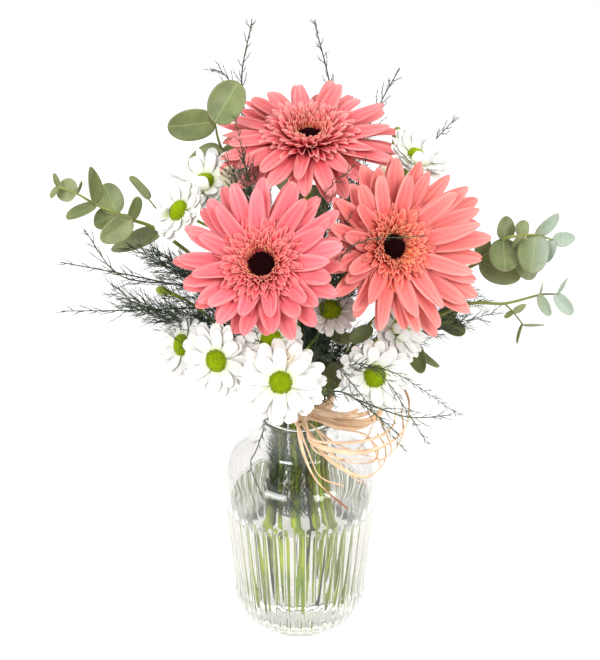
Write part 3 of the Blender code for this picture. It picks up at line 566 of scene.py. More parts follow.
def rays(head, layers, size, right, up):
    """A gerbera's long outer petals. Each layer: count, share of the radius, height, slopes added, width.

    size: their length as a share. right, up: how much longer the petals on that side are.
    """
    matrix, radius, rise = head_frame(head)
    pull = np.array(matrix.to_3x3().transposed() @ Vector((right, 0.0, up)))
    made = Surfaces()
    mean = math.degrees(math.atan2(rise, radius))
    inner = 0.0070  # where the petals start, from the middle
    for level, (count, share, height, start, end, width) in enumerate(layers):
        for index in range(count):
            angle = TAU * (index + 0.5 * level + rng.uniform(-0.15, 0.15)) / count
            uneven = size * (1 + pull[0] * math.cos(angle) + pull[1] * math.sin(angle))
            length = (radius * share * uneven * vary(0.07) - inner) / math.cos(math.radians(mean))
            made.grid(turned(petal(
                length, width * vary(0.12), RAY, 17, 13,
                mean * 0.5 + start + rng.uniform(-3, 3), mean * 1.5 + end + rng.uniform(-9, 7),
                cup=rng.uniform(0.02, 0.36), pleat=0.00040, ripple=0.0009,
                notch=rng.choice((0.0, 0.0, 0.035)),
                sway=rng.uniform(-0.08, 0.08), roll=rng.uniform(-18, 18),
                radius=inner, height=height + 0.0006 * (index % 2),
            ), angle), rng.random())
    kind = "rays_" + head.split("_")[1]
    return show(made.build(kind, kind, matrix, 0.0003), "coral_petal", head + "_petals")


def crown(head, layers):
    """A gerbera's short florets. Each layer: count, base radius, height, length, slopes, width, warmth."""
    matrix, _, _ = head_frame(head)
    made = Surfaces()
    for level, (count, inner, height, length, start, end, width, warmth) in enumerate(layers):
        for index in range(count):
            angle = TAU * (index + 0.5 * (level % 2) + rng.uniform(-0.3, 0.3)) / count
            made.grid(turned(petal(
                length * vary(0.14), width * vary(0.15), FLORET, 8, 5, start + rng.uniform(-8, 8),
                end + rng.uniform(-16, 14), cup=rng.uniform(0.5, 1.1), notch=rng.choice((0.0, 0.06)),
                sway=rng.uniform(-0.16, 0.16), roll=rng.uniform(-28, 28),
                radius=inner * vary(0.04), height=height,
            ), angle), rng.random(), min(1.0, warmth * vary(0.2)))
    kind = "crown_" + head.split("_")[1]
    return show(made.build("crown_of_" + head, kind, matrix, 0.00025), "crown", head + "_crown")


def spiral(count, radius):
    """Points (x, y) packed over a disc as a flower packs them."""
    turn = math.pi * (3 - math.sqrt(5))
    reach = [radius * math.sqrt((i + 0.5) / count) for i in range(count)]
    return [(far * math.cos(i * turn), far * math.sin(i * turn)) for i, far in enumerate(reach)]


def beaded_disc(head, slot, radius, low, dome, count, size, stretch, inner, outer):
    """A flower's domed eye, packed with beads over a smooth core. inner, outer: how bright the beads in its
    middle and at its margin are."""
    matrix, _, _ = head_frame(head)
    made = Surfaces()
    spokes, wide = 25, 0.95 * radius
    core = np.array([[wide * math.cos(a) * s, wide * math.sin(a) * s, low + dome * (1 - s * s) - size * 0.4]
                     for s in (0.02, 0.3, 0.55, 0.75, 0.9, 1.0) for a in np.linspace(0, TAU, spokes)])
    core = np.vstack([core, core[-spokes:] * (1, 1, 0) + (0, 0, low - 0.0015)]).reshape(7, spokes, 3)
    # The core, seen in the hollows between the beads, takes the low colour: painted shade.
    made.grid(core[:, ::-1], 0.0)
    centres, sizes, ways, tones = [], [], [], []
    for x, y in spiral(count, radius):
        share = math.hypot(x, y) / radius
        centres.append(np.array((x, y, low + dome * (1 - share * share))))
        way = np.array((x, y, radius * 0.9))
        ways.append(way / np.linalg.norm(way))
        sizes.append(size * vary(0.15))
        tones.append(min(1.0, max(0.0, inner + (outer - inner) * share**4 + rng.uniform(-0.2, 0.2))))
    made.beads(centres, sizes, ways, tones, stretch)
    return show(made.build("eye_of_" + head, slot, matrix), slot, head + "_disc")


def stamens(head, count, radius, low):
    """The ring of fine warm stamens round a gerbera's eye."""
    matrix, _, _ = head_frame(head)
    made = Surfaces()
    for index in range(count):
        angle = TAU * (index + rng.uniform(-0.3, 0.3)) / count
        out = np.array((math.cos(angle), math.sin(angle), 0.0))
        base = out * radius * vary(0.10) + (0, 0, low)
        lean = rng.uniform(0.1, 0.9)
        middle = base + out * lean * 0.0012 + (0, 0, 0.0018)
        tip = base + out * lean * 0.0030 + (0, 0, 0.0036 * vary(0.25))
        made.tube(smooth_path([base, middle, tip], 3), np.linspace(0.00028, 0.00020, 7), 5, rng.random())
        made.beads([tip], [0.00042 * vary(0.2)], [out], [rng.uniform(0.4, 1.0)], 1.3)
    return show(made.build("stamens_of_" + head, "stamens", matrix), "crown")


# A daisy's layers of petals: how full each is, its share of the radius, its height and the slopes added.
DAISY_LAYERS = ((1.0, 1.0, 0.0, -3, -2), (0.85, 0.93, 0.0007, 3, 2), (0.5, 0.80, 0.0014, 9, 6))


def daisy(head, count, folded):
    """A daisy's whorl of white petals. folded: the bearings, in degrees, of those that curl over its eye."""
    matrix, radius, rise = head_frame(head)
    mean = math.degrees(math.atan2(rise, radius))
    made = Surfaces()
    inner = 0.0034  # where the petals start, from the middle
    for level, (full, share, height, start, end) in enumerate(DAISY_LAYERS):
        many = round(count * full)
        for index in range(many):
            angle = TAU * (index + 0.5 * level + rng.uniform(-0.14, 0.14)) / many
            length = (radius * share * vary(0.05) - inner) / math.cos(math.radians(mean))
            made.grid(turned(petal(
                length, radius * 0.335 * vary(0.10), WHITE, 12, 7, mean * 0.4 + start + rng.uniform(-3, 3),
                mean * 1.6 + end + rng.uniform(-7, 7), cup=rng.uniform(0, 0.22), pleat=0.0002, ripple=0.0003,
                notch=rng.choice((0.0, 0.03, 0.05)), sway=rng.uniform(-0.05, 0.05), roll=rng.uniform(-9, 9),
                radius=inner, height=height + 0.0003 * (index % 2),
            ), angle), rng.random())
    for bearing in folded:
        made.grid(turned(petal(
            radius * 0.62 * vary(0.08), radius * 0.34, WHITE, 16, 7, 38, 196, cup=0.10, pleat=0.0002,
            sway=rng.uniform(-0.1, 0.1), roll=rng.uniform(-8, 8), radius=0.0078, height=0.0022,
        ), math.radians(bearing)), rng.random())
    whorl = made.build("petals_of_" + head, "white_petal", matrix, 0.00028)
    return show(whorl, "white_petal", head + "_petals")


RAY_LAYERS = (
    (18, 1.00, 0.0000, -4, -5, 0.0136),
    (17, 0.96, 0.0014, 3, 3, 0.0130),
    (11, 0.86, 0.0026, 9, 9, 0.0116),
)
FLAT_CROWN = (
    (30, 0.0165, 0.0026, 0.0182, 16, -6, 0.0066, 0.00),
    (34, 0.0150, 0.0034, 0.0166, 30, 6, 0.0058, 0.02),
    (36, 0.0134, 0.0040, 0.0136, 44, 20, 0.0048, 0.06),
    (36, 0.0124, 0.0044, 0.0116, 54, 34, 0.0042, 0.15),
    (32, 0.0116, 0.0047, 0.0096, 62, 50, 0.0037, 0.40),
    (28, 0.0106, 0.0050, 0.0078, 68, 68, 0.0032, 0.75),
    (28, 0.0098, 0.0050, 0.0056, 70, 86, 0.0022, 1.00),
)
BOWL_CROWN = (
    (30, 0.0160, 0.0024, 0.0190, 14, 6, 0.0056, 0.00),
    (34, 0.0150, 0.0030, 0.0182, 28, 24, 0.0052, 0.00),
    (38, 0.0142, 0.0036, 0.0165, 42, 42, 0.0046, 0.04),
    (40, 0.0132, 0.0040, 0.0145, 54, 60, 0.0042, 0.10),
    (36, 0.0120, 0.0042, 0.0118, 62, 78, 0.0036, 0.30),
    (32, 0.0108, 0.0044, 0.0088, 70, 92, 0.0030, 0.60),
    (26, 0.0098, 0.0044, 0.0060, 76, 104, 0.0024, 0.95),
)
for flower, crown_layers, lopsided in (
    ("gerbera_left", FLAT_CROWN, (0.95, 0.0, 0.10)), ("gerbera_right", FLAT_CROWN, (1.00, 0.12, 0.0)),
    ("gerbera_top", BOWL_CROWN, (1.05, 0.0, 0.05)),
):
    rays(flower, RAY_LAYERS, *lopsided)
    crown(flower, crown_layers)
    beaded_disc(flower, "dark_disc", 0.0088, 0.0035, 0.0030, 150, 0.00062, 1.6, 0.25, 0.80)
    stamens(flower, 52, 0.0094, 0.0042)

FOLDED = {
    "daisy_low_right": (160, 215), "daisy_upper_left": (262, 300), "daisy_side_left": (225,),
    "daisy_upper_right": (200, 245, 290), "daisy_middle": (60, 100),
}
for node in sorted(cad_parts):
    if not (node.startswith("daisy") and node.endswith("_petals")):
        continue
    flower = node.removesuffix("_petals")
    daisy(flower, 15, FOLDED.get(flower, ()))
    beaded_disc(flower, "green_disc", 0.0080, 0.0022, 0.0034, 190, 0.00056, 1.3, 0.95, -0.10)


CLOSED_LAYERS = ((9, 0.0030, 62, 100), (8, 0.0022, 72, 108), (5, 0.0012, 80, 112))


def closed_daisy(name, base, way):
    """A daisy that hasn't opened: cream petals upright round its cup, on a thin stem from the tie."""
    matrix = Matrix.Translation(base) @ Vector(way).to_track_quat("Z", "Y").to_matrix().to_4x4()
    made = Surfaces()
    for level, (count, inner, start, end) in enumerate(CLOSED_LAYERS):
        for index in range(count):
            angle = TAU * (index + 0.5 * level + rng.uniform(-0.1, 0.1)) / count
            made.grid(turned(petal(
                0.0150 * vary(0.08), 0.0062, WHITE, 10, 7, start, end + rng.uniform(-5, 5),
                cup=0.5, pleat=0.0002, radius=inner, height=0.0012 * level,
            ), angle), rng.random())
    show(made.build("petals_of_" + name, "cream_petal", matrix, 0.00028), "white_petal")
    green = Surfaces()
    start = tie_point(base, 0.011)
    halfway = (start + base) / 2 + (0.0, 0.012, -0.006)
    path = smooth_path([start, halfway, base - 0.012 * np.array(way), base], 10)
    green.tube(path, np.linspace(0.0011, 0.0009, len(path)), 8, 0.5)
    cup = np.array(base) + np.outer(np.linspace(-0.0030, 0.0028, 7), way)
    green.tube(cup, (0.0009, 0.0024, 0.0034, 0.0038, 0.0039, 0.0038, 0.0034), 14, 0.6)
    show(green.build("stem_of_" + name, "spray_stem"), "spray_stem")


closed_daisy("closed_upper_left", (-0.0460, -0.0060, 0.3700), (-0.25, -0.15, 0.956))
closed_daisy("closed_upper_right", (0.0540, -0.0060, 0.3720), (0.20, -0.25, 0.947))
closed_daisy("closed_front", (-0.0060, -0.0800, 0.2740), (-0.20, -0.45, 0.870))

# ---------------------------------------------------------------- stems


def refined(node, kind):
    """A CAD stem's own surface, welded and rounded, in the material of its kind."""
    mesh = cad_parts[node].data.copy()
    mesh.name = node + "_round"
    piece = linked(node + "_round", mesh)
    mesh.materials.clear()
    mesh.materials.append(MATERIALS[kind])
    work = bmesh.new()
    work.from_mesh(mesh)
    bmesh.ops.remove_doubles(work, verts=work.verts, dist=0.00001)
    bmesh.ops.join_triangles(work, faces=work.faces, angle_face_threshold=0.5, angle_shape_threshold=0.9)
    work.to_mesh(mesh)
    work.free()
    mesh.shade_smooth()
    rounder = piece.modifiers.new("round", "SUBSURF")
    rounder.levels = rounder.render_levels = 1
    return show(piece, kind, node)


for node in sorted(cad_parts):
    if node.startswith("gerbera") and node.endswith("_stem"):
        refined(node, "flower_stem")
    elif node.startswith("daisy_spray"):
        refined(node, "spray_stem")

# ---------------------------------------------------------------- glass and water


def lathe(name, profile, segments, material):
    """A closed surface turned round Z, from a pole-to-pole profile of (r, z, whether it is ribbed)."""
    angles = np.linspace(0, TAU, segments, endpoint=False)
    rows = []
    for r, z, waved in profile:
        radius = ribbed(r, z, angles) if waved else np.full(segments, r)
        rows.append(np.stack([radius * np.cos(angles), radius * np.sin(angles), np.full(segments, z)], -1))
    mesh = bpy.data.meshes.new(name)
    mesh.from_pydata(np.concatenate(rows).tolist(), [], closed_rings(len(rows), segments))
    mesh.shade_smooth()
    mesh.materials.append(material)
    return linked(name, mesh)


def curve_profile(knots, step):
    """Evenly spaced (r, z) along a Catmull-Rom curve through the knots."""
    path = smooth_path([(r, 0.0, z) for r, z in knots], 14)
    lengths = distances(path)
    at = np.linspace(0, lengths[-1], max(2, round(lengths[-1] / step)))
    return [(float(np.interp(s, lengths, path[:, 0])), float(np.interp(s, lengths, path[:, 2]))) for s in at]


# The vase's outside from its middle to the rim, and its inside from the rim to the middle: (r, z).
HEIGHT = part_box("vase")[1].z
OUTER = [*metres((
    (0.5, 1.8), (18, 1.6), (26.2, 0.6), (30, 0), (35.2, 1), (41.8, 5),
    (47, 11.8),
    (49.6, 20), (50.8, 30), (53, 56), (55.4, 86), (57.6, 113), (58.5, 129),
    (57.3, 137), (53, 145), (46, 151), (38.5, 154.8), (32.2, 158.2), (29, 163.5),
    (28.5, 170), (28.6, 179), (29.6, 184.2), (30.2, 186.2),
)), (0.0296, HEIGHT)]
INNER = [(0.0280, HEIGHT - 0.0004), (0.0270, HEIGHT - 0.0022), *metres((
    (25.6, 178), (25.5, 169), (26.2, 162), (29.2, 156.6),
    (36, 152), (44, 147.6), (51, 141.6), (54.5, 134.5), (55.4, 127), (54.6, 113),
    (52.4, 86), (50, 56), (47.8, 30), (46.4, 22.5), (43, 16), (37, 11.5),
    (29, 9.7), (15, 9.8), (0.5, 10),
))]


def ribbed(r, z, angles):
    """The outside with rounded upright ribs, which fade out on the shoulder and under the heel."""
    rise = min(1.0, max(0.0, (z - 0.0040) / 0.0160)) * min(1.0, max(0.0, (0.1240 - z) / 0.0140))
    rise = rise * rise * (3 - 2 * rise)
    wave = np.abs(np.cos(angles * RIBS / 2)) - 0.64
    return r + 0.0011 * rise * wave


def clear_look(name, index, scale, spread, low, high, waves, passing):
    """Glass or water of a refractive index, a tint that drifts from low to high, and waves in its surface.

    The lamps' own rays, and those that have bounced about for long, pass straight, tinted by passing.
    """
    t = look(name, 0.0, Transmission_Weight=1.0, IOR=index)
    flow = t.noise(t.place(), scale, 2.0)
    tint = t.mix(t.ramp(flow, (0.5 - spread, 0.0), (0.5 + spread, 1.0)), low, high)
    material = t.paint(tint, flow, waves, 0.0005)
    clear = t.add("BsdfTransparent", (passing,))
    path = t.add("LightPath")
    deep = t.maths("GREATER_THAN", path.outputs["Ray Depth"], 6.5)
    mirrored = t.maths("GREATER_THAN", path.outputs["Glossy Depth"], 1.5)
    spent = t.maths("MAXIMUM", deep, mirrored)
    straight = t.maths("MAXIMUM", path.outputs["Is Shadow Ray"], spent)
    blend = t.add("MixShader", (straight, t.shader.outputs[0], clear.outputs[0]))
    t.feed(t.tree.nodes["Material Output"].inputs["Surface"], blend.outputs[0])
    return material


glass = clear_look("clear_glass", 1.45, 22.0, 0.2, (0.820, 0.805, 0.805), (0.870, 0.858, 0.852), 0.15,
                   (0.98, 0.98, 0.97, 1.0))
outside = [(r, z, True) for r, z in curve_profile(OUTER, 0.0022)]
inside = [(r, z, False) for r, z in curve_profile(INNER, 0.0036)]
show(lathe("glass_vase", outside + inside, RIBS * 8, glass), "glass", "vase")

# The water lies against the glass, 0.2 mm into it, and climbs it a little at its edge.
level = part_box("water")[1].z
wet = [(r + 0.0002, z - 0.0001) for r, z in curve_profile(INNER, 0.0036) if z < level - 0.0012]
edge = wet[0][0]
surface = [(0.0005, level), (edge * 0.5, level), (edge * 0.9, level + 0.00005),
           (edge - 0.0022, level + 0.0002), (edge - 0.0008, level + 0.0007), (edge + 0.0001, level + 0.0016)]
profile = [(r, z, False) for r, z in reversed(surface + wet)]
clear = clear_look("clear_water", 1.333, 40.0, 0.5, (0.96, 0.97, 0.93), (0.99, 0.99, 0.96), 0.08,
                   (0.98, 0.99, 0.97, 1.0))
show(lathe("clear_water", profile, 128, clear), "water", "water")

# ---------------------------------------------------------------- eucalyptus

# Each sprig as in the CAD part: its slot's angle and its foot's height, then its branches: the branch and
# joint of an earlier one that it leaves (the first leaves the tie), then its joints. A joint is a point and
# the leaves there, each with its direction seen from the front, lean to the front, turn about its own length,
# length and width. Lengths and points are in millimetres.
EUCALYPTUS = {
    "eucalyptus_upper_left": (156, 24, (
        (None, (
            ((-33, 44, 320), ()),
            ((-54, 24, 385), ((215, 0, 10, 26, 24), (-25, 0, 20, 22, 18))),
            ((-58.3, 16, 410), ((188, 10, -25, 32, 24), (61, -10, 10, 32, 26))))),)),
    "eucalyptus_left": (190, 19, (
        (None, (
            ((-60, -2, 296), ()),
            ((-95.2, -8, 337), ((205, 15, 45, 37, 20),)),
            ((-114.8, -22, 354.6), ((72, 10, 50, 16, 12), (217, 20, -20, 26, 18))),
            ((-123.7, -26, 361.3), ((116, -10, 0, 22, 19), (204, -15, 15, 18, 16))),
            ((-137.2, -29, 369.1), ((96, 10, 62, 25, 16), (208, 15, 45, 22, 14))),
            ((-149.7, -30, 377.9), ((160, -15, 0, 14, 17), (70, 0, 80, 9, 6))),
            ((-161.6, -30, 383), ((108, 0, 40, 9, 5), (238, 0, 40, 9, 6))))),
        ((0, 1), (
            ((-99, 8, 345), ()),
            ((-105.4, 10, 354.6), ((131, 0, 60, 20, 13),)))))),
    "eucalyptus_right": (353, 20, (
        (None, (
            ((64, 26, 260), ()),
            ((128.1, 12, 304), ((80, 0, 20, 20, 14), (-24, 5, -15, 30, 24))),
            ((142.4, 4, 325.6), ((-88, 22, 0, 24, 23), (76, -10, 15, 17, 14))),
            ((152.9, 0, 330.8), ((66, -15, 10, 12, 11), (-72, -25, 10, 34, 18))),
            ((164.7, 0, 331.6), ((-100, 15, 5, 28, 23), (42, 0, 40, 21, 12))),
            ((176.9, 0, 327.7), ((5, 0, 10, 15, 11), (-106, 0, 20, 16, 9))))),)),
    "eucalyptus_low_right": (337, 26, (
        (None, (
            ((76, -8, 256), ()),
            ((115.2, -24, 289), ()),
            ((142.1, -29, 293), ()),
            ((165.4, -30, 300.3), ((-62, 0, 20, 16, 8), (75, 0, 75, 9, 6))),
            ((176.8, -30, 301.1), ((58, 0, 70, 14, 8), (-50, 0, 15, 18, 10))))),
        ((0, 2), (
            ((148.2, -30, 286.8), ((30, 0, 30, 10, 6), (215, 0, 40, 7, 5))),
            ((155.4, -30, 277.2), ((0, 0, 75, 15, 6), (-105, 0, 75, 14, 6))))))),
    "eucalyptus_under_right": (322, 22, (
        (None, (
            ((42, -24, 232), ()),
            ((80, -6, 248), ((-68, 10, 25, 23, 15), (-40, 0, 60, 26, 12))),
            ((99, -10, 270), ((35, 0, 10, 15, 13), (-28, 10, 15, 21, 13))))),)),
    "eucalyptus_front": (293, 25, (
        (None, (
            ((15, -36, 224), ()),
            ((29, -38, 250), ((-118, 20, 10, 22, 16),)),
            ((35.1, -30, 264.2), ((30, 0, 20, 18, 13), (165, 0, 30, 15, 12))))),)),
    "eucalyptus_back": (139, 26, (
        (None, (
            ((-8, 48, 270), ((20, -25, 0, 30, 25), (200, -25, 0, 30, 25))),
            ((0, 76, 330), ((-40, -30, 0, 28, 24), (130, -30, 0, 28, 24))),
            ((4, 86, 370), ((30, -30, 0, 22, 18), (170, -30, 0, 22, 18))))),)),
}


def slot_path(angle, foot):
    """A stem's way from its foot through the tie."""
    path = []
    for z in [*np.linspace(foot, TIE, 12), TIE_TOP]:
        down = max(TIE - z, 0) / TIE
        radius = SLOT_RADIUS * (1 + SPLAY * down**SPLAY_POWER)
        turn = math.radians(angle) + TWIST * down
        path.append((radius * math.cos(turn), radius * math.sin(turn), z))
    return np.array(path)


def leaf(made, base, turn, lean, roll, length, width):
    """A round leaf with a slight fold and cup."""
    turn, lean, roll = math.radians(turn), math.radians(lean), math.radians(roll)
    along = np.array((math.cos(turn), 0, 0)) + UPWARD * math.sin(turn)
    along = along * math.cos(lean) + FRONT * math.sin(lean)
    face = FRONT - along * (FRONT @ along)
    face /= np.linalg.norm(face)
    face = face * math.cos(roll) + np.cross(along, face) * math.sin(roll)
    side = np.cross(face, along)
    rings, spokes = 8, 28
    cup, fold, bend = rng.uniform(0.02, 0.16), rng.uniform(0.05, 0.22), rng.uniform(-0.30, 0.12)
    wave, phase = rng.uniform(0.0, 0.05), rng.uniform(0, TAU)
    points, uvs, rims = [(0.0, 0.0, 0.0)], [(0.5, 0.5)], [0.0]
    for ring in range(1, rings + 1):
        share = (ring / rings) ** 0.85
        for spoke in range(spokes):
            a = TAU * spoke / spokes
            out = share * (1 + 0.05 * math.cos(2 * a) + 0.03 * math.sin(3 * a + phase) * share)
            x, y = out * math.cos(a), out * math.sin(a) * (1 - 0.10 * math.cos(a))
            z = cup * out * out + fold * abs(y) * 0.5 + bend * x * x * 0.5
            points.append((x, y, z + wave * out**3 * math.sin(3 * a + phase)))
            uvs.append((0.5 + y / 2, 0.5 + x / 2))
            rims.append(share)
    middle = [(0, 1 + spoke, 1 + (spoke + 1) % spokes) for spoke in range(spokes)]
    faces = middle + [(a, d, c, b) for a, b, c, d in walls(rings, spokes, 1)]
    x, y, z = np.split(np.array(points), 3, axis=1)
    placed = (np.asarray(base) + along * (length * 0.5) + x * along * (length / 2) + y * side * (width / 2)
              + z * face * (length / 2))
    made.take(placed, faces, np.array(uvs), rng.random(), 0.0, np.array(rims))


for sprig, (slot_angle, foot, branches) in EUCALYPTUS.items():
    leaves, twigs = Surfaces(), Surfaces()
    below = slot_path(slot_angle, foot / 1000)
    for origin, joints in branches:
        route = metres(point for point, _ in joints)
        if origin is None:
            rise = smooth_path([below[-1], *route], 8)
            path = np.vstack([below, rise[1:]])
            radii = np.concatenate([np.full(len(below), 0.0016), np.linspace(0.0016, 0.0006, len(rise) - 1)])
        else:
            branch, joint = origin
            path = smooth_path([metres(branches[branch][1][joint][0]), *route], 8)
            radii = np.linspace(0.0007, 0.0005, len(path))
        twigs.tube(path, radii, 10, rng.random())
        for point, here in joints:
            for turn, lean, roll, length, width in here:
                leaf(leaves, metres(point), turn, lean, roll, length / 1000, width / 1000)
    show(leaves.build("leaves_of_" + sprig, "eucalyptus", None, 0.0004), "eucalyptus", sprig)
    show(twigs.build("twig_of_" + sprig, "twig"), "eucalyptus")

# ---------------------------------------------------------------- fern

# Each fern as in the CAD part: its slot's angle and its foot's height, then its branches: the share of the
# first one's length at which each starts, and its points, in millimetres.
FERNS = {
    "fern_left": (203, 32, (
        (0.0, ((-56, -12, 286), (-98, -19, 305), (-164, -32, 327.1))),
        (0.40, ((-110, -40, 294), (-163.7, -42, 294.3))),
        (0.60, ((-124.1, -30, 316), (-146.9, -26, 349.3))))),
    "fern_top_left": (50, 30, (
        (0.0, ((-20, 48, 320), (-42, 98, 395), (-34.1, 95, 455.1))),
        (0.60, ((-50.4, 92, 408), (-64.3, 85, 422))))),
    "fern_top_right": (32, 34, (
        (0.0, ((33, 52, 310), (24, 100, 390), (9.9, 95, 454.3))),
        (0.55, ((59.2, 90, 395), (71.4, 85, 422))),
        (0.42, ((84.9, 60, 364), (110.4, 50, 399.2))))),
    "fern_low_right": (278, 32, (
        (0.0, ((14, -56, 235), (32, -90, 257), (67.3, -98, 230))),
        (0.72, ((72, -98, 244), (103.8, -85, 237.1))))),
}


NEEDLE_SPACING = 0.0020


def frond(made, path, spacing, reach, first=0.25, needle=0.0045):
    """Fine twigs along a wiry branch from the share first on, each set with needles."""
    lengths = distances(path)
    ways = np.gradient(path, axis=0)
    ways /= np.linalg.norm(ways, axis=1)[:, None]
    starts, ends = [], []
    count = int(lengths[-1] * (1 - first) / spacing)
    for index in range(count):
        share = first + (1 - first) * (index + rng.uniform(-0.3, 0.3)) / max(1, count)
        at = max(0.0, min(1.0, share)) * lengths[-1]
        base, way = value_at(at, lengths, path), value_at(at, lengths, ways)
        roll = index * 2.4 + rng.uniform(-0.5, 0.5)
        side = np.cross(way, (0.2, 0.9, 0.4))
        side /= np.linalg.norm(side)
        out = side * math.cos(roll) + np.cross(way, side) * math.sin(roll)
        length = reach * (1.05 - 0.75 * share) * vary(0.35)
        lean = math.radians(rng.uniform(24, 46))
        heading = way * math.cos(lean) + out * math.sin(lean)
        tip = base + heading * length + way * length * 0.25
        middle = base + heading * length * 0.55
        twig = smooth_path([base, middle, tip], 3)
        made.tube(twig, np.linspace(0.00034, 0.00016, len(twig)), 4, rng.random())
        for k in range(max(2, int(length / NEEDLE_SPACING))):
            start = point_along(twig, min(0.98, 0.12 + 0.88 * k / max(1, length / NEEDLE_SPACING)))
            spin = rng.uniform(0, TAU)
            across = out * math.cos(spin) + np.cross(heading, out) * math.sin(spin)
            starts.append(start)
            ends.append(start + (heading * 0.84 + across * 0.54) * needle * vary(0.35))
    made.needles(starts, ends, 0.00022, rng.random())


for fern, (slot_angle, foot, branches) in FERNS.items():
    made = Surfaces()
    below = slot_path(slot_angle, foot / 1000)
    main = None
    for share, route in branches:
        if main is None:
            main = smooth_path([below[-1], *metres(route)], 10)
            made.tube(np.vstack([below, main[1:]]), np.concatenate(
                [np.full(len(below), 0.0010), np.linspace(0.0010, 0.00035, len(main) - 1)]), 8, 0.3)
            path = main
        else:
            path = smooth_path([point_along(main, share), *metres(route)], 10)
            made.tube(path, np.linspace(0.0006, 0.0003, len(path)), 6, 0.3)
        frond(made, path, 0.0040, 0.018)
    show(made.build("needles_of_" + fern, "fern"), "fern", fern)

# The fern's lower sprays, which fill the bunch between the flowers: the head near which each group ends, the
# middle of its tips from that head, how far they spread each way, their number, and the reach of the twigs
# and needles, in millimetres.
THICKETS = (
    ("gerbera_top", (-48, -44, -12), (12, 10, 24), 11, 18, 8.5),
    ("gerbera_top", (6, -56, -24), (24, 8, 14), 8, 18, 8),
    ("gerbera_top", (48, -40, -10), (12, 10, 18), 5, 18, 8),
    ("gerbera_top", (10, 50, -30), (30, 12, 20), 4, 26, 8),
    ("gerbera_left", (-82, 56, -40), (26, 16, 34), 14, 28, 11),
    ("gerbera_left", (-50, 44, -70), (20, 12, 14), 6, 24, 9.5),
    ("gerbera_left", (50, 30, -10), (10, 10, 30), 6, 18, 8),
    ("gerbera_right", (-30, 4, -44), (10, 8, 20), 7, 16, 8),
    ("daisy_middle", (4, 22, -44), (20, 14, 16), 18, 22, 10),
    ("gerbera_right", (66, 30, -62), (12, 10, 18), 5, 22, 12),
    ("daisy_under_left", (-16, -4, 12), (24, 6, 8), 3, 12, 6.5),
    ("daisy_back_left", (0, -16, 0), (30, 14, 30), 5, 26, 8.5),
    ("daisy_back_right", (0, -16, 0), (30, 14, 30), 5, 26, 8.5),
)
# Single sprays that lie over the flowers: their tips and middles from the head, and the same reaches.
OVERLYING = (
    ("gerbera_right", (18, -30, 24), (-36, -28, 6), 8, 4),
    ("gerbera_top", (-50, -26, 26), (-40, -34, -30), 12, 5.5),
    ("gerbera_top", (30, -56, 4), (4, -60, -36), 12, 5.5),
    ("daisy_front_right", (20, -32, -40), (-34, -12, 22), 11, 5),
    ("daisy_front_right", (36, -30, -36), (-6, -18, 20), 11, 5),
    ("daisy_front_right", (58, -22, -18), (0, -18, 18), 11, 5),
)


def middle(node):
    low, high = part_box(node)
    return np.array((low + high) / 2)


def plume(made, between, tip, reach, needle, first, radius):
    """A spray from inside the tie, between the flowers, to its tip."""
    path = smooth_path([tie_point(between, 0.012), between, tip], 14)
    made.tube(path, np.linspace(radius, 0.0002, len(path)), 6, 0.3)
    frond(made, path, 0.0030, reach, first, needle)


for index, (head, offset, spread, count, reach, needle) in enumerate(THICKETS):
    made = Surfaces()
    offset, spread, reach, needle = metres((offset, spread, reach, needle))
    for _ in range(count):
        tip = middle(head + "_disc") + offset + [rng.uniform(-way, way) for way in spread]
        between = np.array((0.0, 0.0, TIE_TOP)) * 0.5 + tip * 0.5
        between = between + [rng.uniform(-0.012, 0.012) for _ in range(3)]
        plume(made, between * (0.8, 0.8, 1.0), tip, reach, needle, 0.35, 0.0007)
    show(made.build(f"fern_filling_{index}", "fern"), "fern")
made = Surfaces()
for head, *sizes in OVERLYING:
    tip, between, reach, needle = metres(sizes)
    centre = middle(head + "_disc")
    plume(made, centre + between, centre + tip, reach, needle, 0.40, 0.0005)
show(made.build("fern_overlying", "fern"), "fern")

made = Surfaces()
# The stripped needles and bits of twig that went into the water with the stems.
for angle in range(176, 282, 7):
    frond(made, slot_path(angle, 0.084)[2:] * (1.10, 1.10, 1.0), 0.0020, 0.0080, 0.0, 0.0070)
for route in (((-20, -8, 196), (-31, -13, 164), (-36, -15, 145), (-27, -16, 120)),
              ((2, -20, 150), (5, -22, 136), (0, -21, 124)),
              ((22, -14, 170), (27, -18, 156), (33, -18, 154))):
    path = smooth_path(metres(route), 8)
    made.tube(path, np.linspace(0.0005, 0.0003, len(path)), 6, 0.2)
    frond(made, path, 0.0050, 0.0060, 0.1, 0.0040)
show(made.build("fern_in_water", "fern"), "fern")

# ---------------------------------------------------------------- raffia

# The points that each strand of the CAD part passes, from the knot, in millimetres.
STRANDS = {
    "raffia_band_loop": ((6, -29, 203), (33, -33, 197), (52, -26, 196),
                         (60, -13, 202), (52, -1, 208), (33, 6, 208)),
    "raffia_wide_loop": ((4, -35, 199), (10, -50, 190), (37, -58, 188),
                         (58, -54, 190), (74, -42, 196), (79, -26, 208),
                         (75, -14, 216)),
    "raffia_low_loop": ((2, -34, 196), (18, -50, 180), (34, -56, 170),
                        (48, -54, 164), (60, -45, 169), (62, -37, 178),
                        (56, -33, 188)),
    "raffia_tail": ((-2, -35, 197), (2, -48, 182), (10, -54, 164),
                    (22, -56, 150), (35, -50, 133)),
}


GUTTER = 0.12  # as a share of a strand's width


